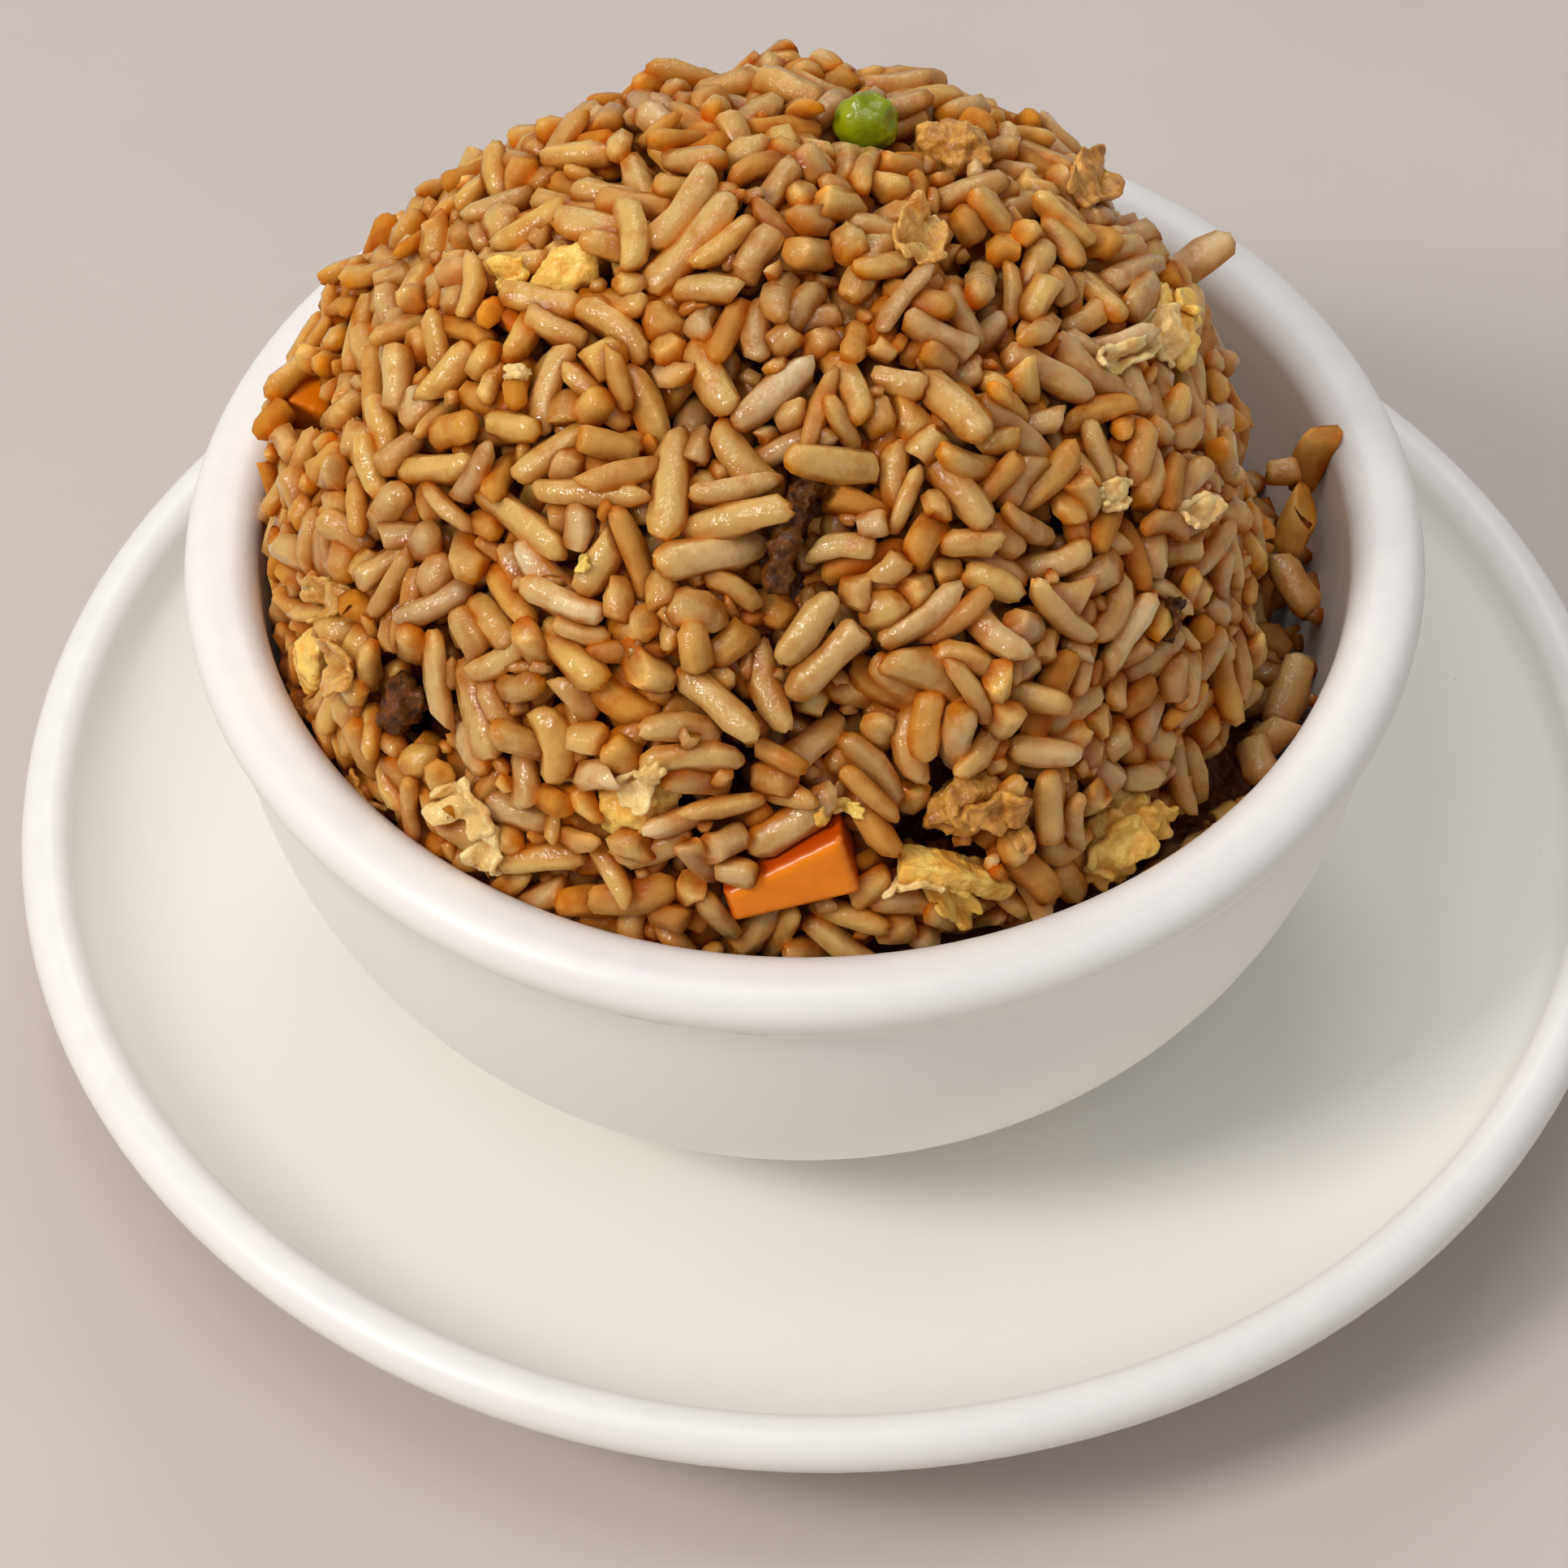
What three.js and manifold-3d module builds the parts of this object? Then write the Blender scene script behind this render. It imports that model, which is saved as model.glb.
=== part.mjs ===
// Fried rice heaped to a dome in a small round bowl, which stands on its plate.
// Units are millimetres and +Z is up. The origin is the centre of the plate's foot, on the table.

import * as THREE from 'three';
import { mergeVertices } from 'three/addons/utils/BufferGeometryUtils.js';
import { ImprovedNoise } from 'three/addons/math/ImprovedNoise.js';
import Module from 'manifold-3d';

// ------------------------------------------------------------------ driving sizes

const GAP = 0.3; // clearance between two pieces that touch
const ROUND_SEGMENTS = 48; // facets round the bowl and the plate
const CORE_SEGMENTS = 24; // facets round the bare rice: each corner faces a corner of the bowl
const FACET_SLACK = 0.1; // how far the middle of a facet of the bowl lies inside its true round

const PLATE_RADIUS = 69.85; // 5 1/2 inches across
const PLATE_ROLL = 2.26; // radius of the rolled rim
const PLATE_HEIGHT = 18.2;
const PLATE_FLOOR = 4.7; // top of the flat middle
const PLATE_FLOOR_RADIUS = 40;
const PLATE_RECESS = 1.3; // height of the underside inside the foot ring
const PLATE_FOOT_INNER = 37.5;
const PLATE_FOOT_OUTER = 41.5;

const BOWL_CENTRE = new THREE.Vector2(-1.66, 0.24); // the bowl stands a little off the plate's middle
const BOWL_RADIUS = 50.8; // 4 inches across
const BOWL_ROLL = 2.45; // radius of the rim's outer roll
const BOWL_LIP = 6.1; // width of the rim from outside to inside
const BOWL_LIP_ROUND = 2.6; // radius of the rim's inner edge
const BOWL_HEIGHT = 44.45;
const BOWL_FOOT_INNER = 22.6;
const BOWL_FOOT_OUTER = 26.2;
const BOWL_RECESS = 2.6; // height of the underside inside the foot ring
const BOWL_FLOOR = 7; // inside floor above the bottom of the foot
const BOWL_FLOOR_RADIUS = 12;

const DOME_CENTRE = new THREE.Vector3(-4.7, -1.0, 44.7);
const DOME_RADIUS = 39.9; // of the bare core, seen from above
const DOME_RISE = 38.4; // from its centre up to the bare top
const DOME_LUMP = 1.6; // height of the lumps in the core
const DOME_LUMP_SIZE = 19; // distance from lump to lump
const DOME_RINGS = 8;

const BED_LEVEL = 38; // mean height of the loose rice beside the dome
const BED_TILT = 5; // it is this much higher in front, and lower behind
const BED_HIGH_AZIMUTH = THREE.MathUtils.degToRad(-105);
const BED_LUMP = 0.7; // height of the lumps in it

// Two corners of the open hollow between the dome and the bowl's wall: no grain lies in it.
const HOLLOW_LOW = new THREE.Vector3(36.9, -9, 39.9);
const HOLLOW_HIGH = new THREE.Vector3(41.3, 5.5, 60);

const GRAIN_LENGTH = 7.6; // of a mean whole grain; the longest are about 9.5
const GRAIN_WIDTH = 2.8;
const GRAIN_SIDES = 4;
const GRAIN_TIP = 0.5; // spread of the angle, in radians, that a grain is tipped out of the surface
const DOME_GRAINS = 190;
const BED_GRAINS = 30;
const LOWEST_GRAIN = THREE.MathUtils.degToRad(-9); // elevation on the dome, seen from its centre
const GRAIN_LIFT = 0.3; // height of a lying grain's middle above the core
const GRAIN_SEED = 73;
const POCKET_GAP = 0.65; // how far the pocket of a topping is wider than it
const ABOVE_RIM = 3; // food keeps inside the bowl's lip up to this height above the rim

// ------------------------------------------------------------------ small tools

const wasm = await Module();
wasm.setup();
const noise = new ImprovedNoise();

/** Repeatable random numbers from 0 to 1. */
function randomSource(seed) {
  let state = seed;
  return () => {
    state = (state + 0x6d2b79f5) | 0;
    let mixed = Math.imul(state ^ (state >>> 15), 1 | state);
    mixed = (mixed + Math.imul(mixed ^ (mixed >>> 7), 61 | mixed)) ^ mixed;
    return ((mixed ^ (mixed >>> 14)) >>> 0) / 4294967296;
  };
}

/** Joins equal corners and drops triangles that have shrunk to a line, as at a pole. */
function weld(geometry) {
  geometry.deleteAttribute('normal');
  geometry.deleteAttribute('uv');
  const welded = mergeVertices(geometry);
  const corners = welded.index.array;
  const kept = [];
  for (let i = 0; i < corners.length; i += 3) {
    const [a, b, c] = [corners[i], corners[i + 1], corners[i + 2]];
    if (a !== b && b !== c && c !== a) {
      kept.push(a, b, c);
    }
  }
  welded.setIndex(kept);
  return welded;
}

function toSolid(geometry) {
  const vertProperties = new Float32Array(geometry.attributes.position.array);
  const triVerts = new Uint32Array(geometry.index.array);
  return new wasm.Manifold(new wasm.Mesh({ numProp: 3, vertProperties, triVerts }));
}

function toGeometry(solid) {
  const mesh = solid.getMesh();
  const geometry = new THREE.BufferGeometry();
  geometry.setAttribute('position', new THREE.BufferAttribute(mesh.vertProperties, 3));
  geometry.setIndex(Array.from(mesh.triVerts));
  return geometry;
}

/** The outer shell of the largest piece: loose scraps and sealed hollows go. */
function mainPiece(solid) {
  const pieces = solid.decompose();
  pieces.sort((a, b) => b.volume() - a.volume());
  return pieces[0];
}

/** Points on an arc, angles in degrees. */
function arc(x, y, radius, from, to, steps) {
  const points = [];
  for (let i = 0; i <= steps; i += 1) {
    const angle = THREE.MathUtils.degToRad(from + ((to - from) * i) / steps);
    points.push(new THREE.Vector2(x + radius * Math.cos(angle), y + radius * Math.sin(angle)));
  }
  return points;
}

function bezier(start, pull1, pull2, end, steps) {
  const corners = [start, pull1, pull2, end].map(([x, y]) => new THREE.Vector2(x, y));
  return new THREE.CubicBezierCurve(...corners).getPoints(steps);
}

/** Turns a profile of (radius, height) points round the Z axis. */
function turned(profile) {
  const geometry = new THREE.LatheGeometry(profile, ROUND_SEGMENTS);
  geometry.rotateX(Math.PI / 2);
  return weld(geometry);
}

// ------------------------------------------------------------------ plate

function plateProfile() {
  const rollX = PLATE_RADIUS - PLATE_ROLL;
  const rollZ = PLATE_HEIGHT - PLATE_ROLL;
  return [
    new THREE.Vector2(0, PLATE_RECESS),
    new THREE.Vector2(PLATE_FOOT_INNER - 0.6, PLATE_RECESS),
    new THREE.Vector2(PLATE_FOOT_INNER, 0),
    new THREE.Vector2(PLATE_FOOT_OUTER, 0),
    ...bezier([PLATE_FOOT_OUTER + 1.2, 1.4], [54, 3.2], [61, 8.4], [rollX - 1.6, rollZ - 2.9], 3),
    ...arc(rollX, rollZ, PLATE_ROLL, -90, 180, 6),
    ...bezier([rollX - 2.7, rollZ - 1.5], [59.5, 9.3], [53, 5.4], [PLATE_FLOOR_RADIUS, PLATE_FLOOR], 5),
    new THREE.Vector2(0, PLATE_FLOOR),
  ];
}

// ------------------------------------------------------------------ bowl

const BOWL_FOOT = PLATE_FLOOR + GAP;
const BOWL_TOP = BOWL_FOOT + BOWL_HEIGHT;

/** The inside of the bowl, from its floor's edge up to its inner lip. */
function bowlInside() {
  const lipX = BOWL_RADIUS - BOWL_LIP;
  const start = [BOWL_FLOOR_RADIUS, BOWL_FOOT + BOWL_FLOOR];
  const end = [lipX, BOWL_TOP - BOWL_LIP_ROUND];
  return bezier(start, [34, BOWL_FOOT + 7.2], [43.8, BOWL_FOOT + 20], end, 6);
}

function bowlProfile() {
  const rollX = BOWL_RADIUS - BOWL_ROLL;
  const rollZ = BOWL_TOP - BOWL_ROLL;
  const lipX = BOWL_RADIUS - BOWL_LIP + BOWL_LIP_ROUND;
  const lipZ = BOWL_TOP - BOWL_LIP_ROUND;
  const wallStart = [BOWL_FOOT_OUTER + 0.5, BOWL_FOOT + 2.2];
  const wallEnd = [rollX + 0.4, rollZ - 4.3];
  return [
    new THREE.Vector2(0, BOWL_FOOT + BOWL_RECESS),
    new THREE.Vector2(BOWL_FOOT_INNER - 0.8, BOWL_FOOT + BOWL_RECESS),
    new THREE.Vector2(BOWL_FOOT_INNER, BOWL_FOOT),
    new THREE.Vector2(BOWL_FOOT_OUTER, BOWL_FOOT),
    ...bezier(wallStart, [40, BOWL_FOOT + 5.2], [48.3, BOWL_FOOT + 17], wallEnd, 5),
    ...arc(rollX, rollZ, BOWL_ROLL, -45, 90, 3),
    ...arc(lipX, lipZ, BOWL_LIP_ROUND, 90, 150, 2),
    ...bowlInside().reverse(),
    new THREE.Vector2(0, BOWL_FOOT + BOWL_FLOOR),
  ];
}

const INSIDE = bowlInside();

/** Radius of the bowl's inside at a height. */
function insideRadius(z) {
  const above = INSIDE.findIndex((point) => point.y > z);
  if (above === 0) {
    return BOWL_FLOOR_RADIUS;
  }
  if (above < 0) {
    return INSIDE[INSIDE.length - 1].x;
  }
  const [low, high] = [INSIDE[above - 1], INSIDE[above]];
  return THREE.MathUtils.mapLinear(z, low.y, high.y, low.x, high.x);
}

/** The radius that food keeps to at a height, clear of the bowl's wall and floor. */
function roomRadius(z) {
  return insideRadius(z - GAP) - GAP - FACET_SLACK;
}

/** How far a point is inside that radius; well above the rim there is no limit. */
function roomInBowl(point) {
  if (point.z > BOWL_TOP + ABOVE_RIM) {
    return Infinity;
  }
  return roomRadius(point.z) - Math.hypot(point.x - BOWL_CENTRE.x, point.y - BOWL_CENTRE.y);
}

/** A point at the bowl's wall. */
function atWall(azimuth, z) {
  const reach = roomRadius(z);
  const x = BOWL_CENTRE.x + reach * Math.cos(azimuth);
  return new THREE.Vector3(x, BOWL_CENTRE.y + reach * Math.sin(azimuth), z);
}

// ------------------------------------------------------------------ core of the rice

const CORE_FLOOR = BOWL_FOOT + BOWL_FLOOR + GAP + 0.05;

function lumps(point, size) {
  return noise.noise(point.x / size + 3.1, point.y / size + 7.7, point.z / size + 1.3);
}

function bedLevel(azimuth) {
  return BED_LEVEL + BED_TILT * Math.cos(azimuth - BED_HIGH_AZIMUTH);
}

/** A point on the dome's core, and the direction that is out there. */
function onDome(azimuth, elevation, lift = 0) {
  const level = Math.cos(elevation);
  const aim = new THREE.Vector3(level * Math.cos(azimuth), level * Math.sin(azimuth), Math.sin(elevation));
  const place = new THREE.Vector3(aim.x * DOME_RADIUS, aim.y * DOME_RADIUS, aim.z * DOME_RISE);
  const out = new THREE.Vector3(aim.x / DOME_RADIUS, aim.y / DOME_RADIUS, aim.z / DOME_RISE).normalize();
  place.addScaledVector(out, DOME_LUMP * lumps(place, DOME_LUMP_SIZE) + lift);
  return { place: place.add(DOME_CENTRE), out };
}

/** A point on the loose rice beside the dome: share 0 is at the dome, 1 at the bowl's wall. */
function onBed(azimuth, share) {
  const level = bedLevel(azimuth);
  const { place } = onDome(azimuth, Math.asin((level - DOME_CENTRE.z) / DOME_RISE));
  const point = place.lerp(atWall(azimuth, level), share);
  point.z = level + BED_LUMP * lumps(point, DOME_LUMP_SIZE / 2);
  return keptInBowl(point);
}

function keptInBowl(point) {
  const excess = -roomInBowl(point);
  if (excess > 0) {
    const away = new THREE.Vector2(point.x - BOWL_CENTRE.x, point.y - BOWL_CENTRE.y);
    away.setLength(away.length() - excess);
    point.x = BOWL_CENTRE.x + away.x;
    point.y = BOWL_CENTRE.y + away.y;
  }
  return point;
}

/** Rings of points from the bowl's floor up its wall, over the loose rice and up the dome. */
function coreRings() {
  const rings = [];
  for (const share of [0.02, 0.22, 0.55, 1]) {
    rings.push((azimuth) => atWall(azimuth, THREE.MathUtils.lerp(CORE_FLOOR, bedLevel(azimuth), share)));
  }
  rings.push((azimuth) => onBed(azimuth, 0.5));
  for (let i = 0; i < DOME_RINGS; i += 1) {
    rings.push((azimuth) => {
      const low = Math.asin((bedLevel(azimuth) - DOME_CENTRE.z) / DOME_RISE);
      const elevation = THREE.MathUtils.lerp(low, Math.PI / 2, i / DOME_RINGS);
      return keptInBowl(onDome(azimuth, elevation).place);
    });
  }
  return rings;
}

function coreGeometry() {
  const rings = coreRings();
  const top = onDome(0, Math.PI / 2).place;
  const positions = [BOWL_CENTRE.x, BOWL_CENTRE.y, CORE_FLOOR];
  for (const ring of rings) {
    for (let i = 0; i < CORE_SEGMENTS; i += 1) {
      positions.push(...ring((2 * Math.PI * i) / CORE_SEGMENTS).toArray());
    }
  }
  positions.push(...top.toArray());
  const corner = (ring, i) => 1 + ring * CORE_SEGMENTS + (i % CORE_SEGMENTS);
  const last = rings.length - 1;
  const triangles = [];
  for (let i = 0; i < CORE_SEGMENTS; i += 1) {
    triangles.push(0, corner(0, i + 1), corner(0, i));
    for (let ring = 0; ring < last; ring += 1) {
      triangles.push(corner(ring, i), corner(ring, i + 1), corner(ring + 1, i + 1));
      triangles.push(corner(ring, i), corner(ring + 1, i + 1), corner(ring + 1, i));
    }
    triangles.push(corner(last, i), corner(last, i + 1), positions.length / 3 - 1);
  }
  const geometry = new THREE.BufferGeometry();
  geometry.setAttribute('position', new THREE.BufferAttribute(new Float32Array(positions), 3));
  geometry.setIndex(triangles);
  return geometry;
}

// ------------------------------------------------------------------ shapes of the pieces in the rice

/** An uneven lump of food; grow makes the pocket that it lies in. */
function lump(size, roughness, detail, seed, grow) {
  const geometry = weld(new THREE.IcosahedronGeometry(1, detail));
  const position = geometry.attributes.position;
  const aim = new THREE.Vector3();
  for (let i = 0; i < position.count; i += 1) {
    aim.fromBufferAttribute(position, i).normalize();
    const swell = 1 + roughness * noise.noise(aim.x * 1.9 + seed, aim.y * 1.9, aim.z * 1.9 - seed);
    const half = size.map((width) => (width / 2) * swell + grow);
    position.setXYZ(i, aim.x * half[0], aim.y * half[1], aim.z * half[2]);
  }
  return geometry;
}

/** A diced piece: a wedge-shaped block, narrower at one end, with worn edges. */
function diced(size, taper, grow) {
  const [length, width, depth] = size;
  const edge = 0.5;
  const halfLength = length / 2 - edge;
  const wide = width / 2 - edge;
  const narrow = wide * taper;
  const outline = new THREE.Shape();
  outline.moveTo(-halfLength, -wide);
  outline.lineTo(halfLength, -wide);
  outline.lineTo(halfLength, wide);
  outline.lineTo(-halfLength, 2 * narrow - wide);
  outline.closePath();
  const bevel = { bevelThickness: edge + grow, bevelSize: edge + grow, bevelSegments: 1 };
  const geometry = new THREE.ExtrudeGeometry(outline, { depth: depth - 2 * edge, ...bevel });
  geometry.translate(0, 0, edge - depth / 2);
  return weld(geometry);
}

/** A thin curled strip, laid along a curve. */
function strip(route, width, thickness, grow) {
  const [halfWidth, halfThickness] = [width / 2 + grow, thickness / 2 + grow];
  const section = new THREE.Shape();
  section.moveTo(-halfThickness, -halfWidth);
  section.lineTo(halfThickness, -halfWidth * 0.8);
  section.lineTo(halfThickness, halfWidth * 0.8);
  section.lineTo(-halfThickness, halfWidth);
  section.closePath();
  const points = route.map(([x, y, z]) => new THREE.Vector3(x, y, z));
  points[0].addScaledVector(points[1].clone().sub(points[0]).normalize(), -grow);
  const [before, last] = points.slice(-2);
  last.addScaledVector(last.clone().sub(before).normalize(), grow);
  const extrudePath = new THREE.CatmullRomCurve3(points);
  return weld(new THREE.ExtrudeGeometry(section, { steps: 8, extrudePath, bevelEnabled: false }));
}

/** Stands a mesh on the dome, its own +Z pointing out and turned about that. */
function seatOnDome(mesh, azimuth, elevation, turn, lift) {
  const angles = [azimuth, elevation, turn].map(THREE.MathUtils.degToRad);
  const { place, out } = onDome(angles[0], angles[1], lift);
  mesh.position.copy(place);
  aimOut(mesh, out, angles[2]);
}

/** Turns a mesh so that +Z is out and +X is turned from level about it. */
function aimOut(mesh, out, turn) {
  const level = new THREE.Vector3(0, 0, 1).cross(out);
  if (level.lengthSq() < 1e-6) {
    level.set(1, 0, 0);
  }
  level.normalize();
  const up = out.clone().cross(level);
  mesh.quaternion.setFromRotationMatrix(new THREE.Matrix4().makeBasis(level, up, out));
  mesh.rotateZ(turn);
}

// ------------------------------------------------------------------ toppings

const CARROT = { color: 0xe07a10, roughness: 0.45, metalness: 0 };
const PEA = { color: 0x6f8a12, roughness: 0.4, metalness: 0 };
const EGG = { color: 0xe3b65a, roughness: 0.5, metalness: 0 };
const CHICKEN = { color: 0xb97a3c, roughness: 0.6, metalness: 0 };
const BROWNED = { color: 0x3a1a08, roughness: 0.6, metalness: 0 };

// Azimuth, elevation and turn are in degrees, on the dome; lift is how far the middle stands out.
const TOPPINGS = [
  { name: 'carrot_front', look: CARROT, azimuth: -88, elevation: 13, turn: 14, lift: -0.7,
    shape: (grow) => diced([10, 5.6, 6], 0.45, grow) },
  { name: 'carrot_left', look: CARROT, azimuth: 169, elevation: 18, turn: 80, lift: 0.2,
    shape: (grow) => diced([6, 4.5, 4], 0.8, grow) },
  { name: 'green_pea', look: PEA, azimuth: 60, elevation: 66, turn: 30, lift: 0.5,
    shape: (grow) => lump([5.4, 4.9, 4.9], 0.25, 1, 4.2, grow) },
  { name: 'egg_front', look: EGG, azimuth: -70, elevation: 9, turn: -22, lift: 1,
    shape: (grow) => strip([[-4.6, 0.6, -0.4], [-2.2, 1.2, 0.7], [1, 0.4, 0.6], [4.8, -1.1, -0.6]], 3.4, 1.8, grow) },
  { name: 'egg_right', look: EGG, azimuth: -48, elevation: 0, turn: 55, lift: 0.4,
    shape: (grow) => lump([8.8, 7.6, 5], 0.5, 2, 9.4, grow) },
  { name: 'egg_back', look: EGG, azimuth: 5, elevation: 39, turn: 25, lift: 0.6,
    shape: (grow) => lump([8.4, 5, 4.4], 0.5, 1, 2.7, grow) },
  { name: 'egg_middle', look: EGG, azimuth: -105, elevation: 20, turn: 70, lift: 0.3,
    shape: (grow) => lump([6.8, 5.6, 4], 0.5, 1, 6.1, grow) },
  { name: 'egg_top', look: EGG, azimuth: -169, elevation: 68, turn: 100, lift: 0.4,
    shape: (grow) => lump([6.6, 4, 3.4], 0.5, 1, 1.9, grow) },
  { name: 'egg_left', look: EGG, azimuth: -155, elevation: 11, turn: 80, lift: 0.1,
    shape: (grow) => lump([7.4, 4.4, 3.4], 0.5, 1, 5.5, grow) },
  { name: 'chicken_back', look: CHICKEN, azimuth: 42, elevation: 60, turn: 10, lift: 0.4,
    shape: (grow) => lump([6.6, 5.2, 4.6], 0.5, 1, 3.3, grow) },
  { name: 'chicken_front', look: CHICKEN, azimuth: -67, elevation: 17, turn: 15, lift: 0.3,
    shape: (grow) => lump([6.2, 5, 4], 0.5, 1, 7.2, grow) },
  { name: 'browned_left', look: BROWNED, azimuth: -137, elevation: 19, turn: 80, lift: 0.3,
    shape: (grow) => lump([6, 3.6, 3], 0.5, 1, 8.8, grow) },
  { name: 'browned_sliver', look: BROWNED, azimuth: -86, elevation: 51, turn: 75, lift: 0.5,
    shape: (grow) => strip([[-4.4, 0, -0.5], [-1.4, 0.3, 0.3], [1.4, 0, 0.3], [4.4, -0.7, -0.5]], 2.4, 1.8, grow) },
];

function toppingMesh(topping, grow) {
  const mesh = new THREE.Mesh(topping.shape(grow), new THREE.MeshStandardMaterial(topping.look));
  mesh.name = topping.name;
  seatOnDome(mesh, topping.azimuth, topping.elevation, topping.turn, topping.lift);
  mesh.updateMatrixWorld();
  return mesh;
}

/** The solid of a mesh where it stands. */
function placedSolid(mesh) {
  return toSolid(mesh.geometry.clone().applyMatrix4(mesh.matrixWorld));
}

// ------------------------------------------------------------------ grains

/** A blunt grain of rice along X with few faces, slightly bent and flattened. */
function grain(length, width) {
  const [half, thick] = [length / 2, width / 2];
  const shoulder = half - width * 0.3;
  const profile = [[0, -half], [thick * 0.85, -shoulder], [thick, shoulder], [0, half]];
  const geometry = new THREE.LatheGeometry(profile.map(([x, y]) => new THREE.Vector2(x, y)), GRAIN_SIDES);
  geometry.rotateZ(-Math.PI / 2);
  return weld(geometry);
}

/** A grain lying at a place, tipped out of the surface by a small angle. */
function layGrain(place, out, turn, tip, length, width) {
  const mesh = new THREE.Mesh(grain(length, width));
  mesh.position.copy(place);
  aimOut(mesh, out, turn);
  mesh.rotateY(tip);
  mesh.updateMatrixWorld();
  return mesh;
}

/** True where a grain keeps clear of the bowl and of every topping. */
function isClear(mesh, pockets) {
  const position = mesh.geometry.attributes.position;
  const corner = new THREE.Vector3();
  for (let i = 0; i < position.count; i += 1) {
    corner.fromBufferAttribute(position, i).applyMatrix4(mesh.matrixWorld);
    if (roomInBowl(corner) < 0) {
      return false;
    }
  }
  const solid = placedSolid(mesh);
  return pockets.every((pocket) => solid.intersect(pocket).isEmpty());
}

/** Lays one grain, turned or shortened where it would cross something, or left out. */
function fittedGrain(place, out, random, pockets) {
  const width = GRAIN_WIDTH * (0.86 + 0.26 * random());
  const whole = GRAIN_LENGTH * (0.62 + 0.62 * random());
  const turn = Math.PI * random();
  const tip = (random() - 0.5) * GRAIN_TIP;
  for (const [extraTurn, share] of [[0, 1], [Math.PI / 2, 1], [0, 0.65], [Math.PI / 2, 0.65]]) {
    const length = Math.max(whole * share, width * 1.4);
    const mesh = layGrain(place, out, turn + extraTurn, tip, length, width);
    if (isClear(mesh, pockets)) {
      return placedSolid(mesh);
    }
  }
  return null;
}

function allGrains(pockets) {
  const random = randomSource(GRAIN_SEED);
  const goldenAngle = Math.PI * (3 - Math.sqrt(5));
  const grains = [];
  for (let i = 0; i < DOME_GRAINS; i += 1) {
    const height = THREE.MathUtils.lerp(1, Math.sin(LOWEST_GRAIN), (i + 0.5) / DOME_GRAINS);
    const azimuth = i * goldenAngle + (random() - 0.5) * 0.06;
    const { place, out } = onDome(azimuth, Math.asin(height), GRAIN_LIFT);
    grains.push(fittedGrain(place, out, random, pockets));
  }
  for (let i = 0; i < BED_GRAINS; i += 1) {
    const azimuth = (2 * Math.PI * (i + random() * 0.6)) / BED_GRAINS;
    const place = onBed(azimuth, 0.25 + 0.5 * random());
    place.z += GRAIN_LIFT;
    grains.push(fittedGrain(place, new THREE.Vector3(0, 0, 1), random, pockets));
  }
  return grains.filter((solid) => solid !== null);
}

/** The free space beside the dome, as a solid that grains keep out of. */
function hollowSolid() {
  const size = HOLLOW_HIGH.clone().sub(HOLLOW_LOW);
  const middle = HOLLOW_LOW.clone().lerp(HOLLOW_HIGH, 0.5);
  const box = new THREE.BoxGeometry(size.x, size.y, size.z);
  return toSolid(weld(box.translate(middle.x, middle.y, middle.z)));
}

function riceHeap() {
  const pockets = TOPPINGS.map((topping) => placedSolid(toppingMesh(topping, POCKET_GAP)));
  let heap = toSolid(coreGeometry());
  for (const pocket of pockets) {
    heap = heap.subtract(pocket);
  }
  for (const solid of allGrains([...pockets, hollowSolid()])) {
    heap = heap.add(solid);
  }
  return toGeometry(mainPiece(heap));
}

// ------------------------------------------------------------------ the whole

const glaze = { color: 0xf1eee6, roughness: 0.25, metalness: 0 };

const plate = new THREE.Mesh(turned(plateProfile()), new THREE.MeshStandardMaterial(glaze));
plate.name = 'plate';

const bowl = new THREE.Mesh(turned(bowlProfile()), new THREE.MeshStandardMaterial(glaze));
bowl.name = 'bowl';
bowl.position.set(BOWL_CENTRE.x, BOWL_CENTRE.y, 0);

const riceLook = { color: 0xc48a45, roughness: 0.4, metalness: 0 };
const rice = new THREE.Mesh(riceHeap(), new THREE.MeshStandardMaterial(riceLook));
rice.name = 'rice_heap';

const group = new THREE.Group();
group.add(plate, bowl, rice, ...TOPPINGS.map((topping) => toppingMesh(topping, 0)));

export default group;
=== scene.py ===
"""The finished look of a small bowl of fried rice on its plate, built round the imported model.

Everything is in metres in the model's own frame: +Z is up, and the origin is on the table under
the middle of the plate.
"""

import math

import bpy
import numpy as np
from mathutils import Matrix, Vector, noise


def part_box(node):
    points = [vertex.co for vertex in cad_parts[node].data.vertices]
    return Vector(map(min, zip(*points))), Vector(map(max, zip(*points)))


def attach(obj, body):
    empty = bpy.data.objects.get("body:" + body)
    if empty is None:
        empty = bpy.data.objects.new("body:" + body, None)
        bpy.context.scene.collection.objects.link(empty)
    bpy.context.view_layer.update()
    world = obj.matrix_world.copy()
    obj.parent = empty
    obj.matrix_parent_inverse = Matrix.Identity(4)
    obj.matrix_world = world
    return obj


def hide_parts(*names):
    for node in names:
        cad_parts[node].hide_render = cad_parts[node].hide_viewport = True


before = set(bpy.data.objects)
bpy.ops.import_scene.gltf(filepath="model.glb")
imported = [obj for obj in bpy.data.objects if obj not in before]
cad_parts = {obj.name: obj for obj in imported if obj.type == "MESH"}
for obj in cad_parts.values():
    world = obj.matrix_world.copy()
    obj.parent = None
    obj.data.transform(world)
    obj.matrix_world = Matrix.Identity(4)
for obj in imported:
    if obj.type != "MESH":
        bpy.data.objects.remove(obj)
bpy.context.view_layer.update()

# ---------------- sizes

MM = 0.001

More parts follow.
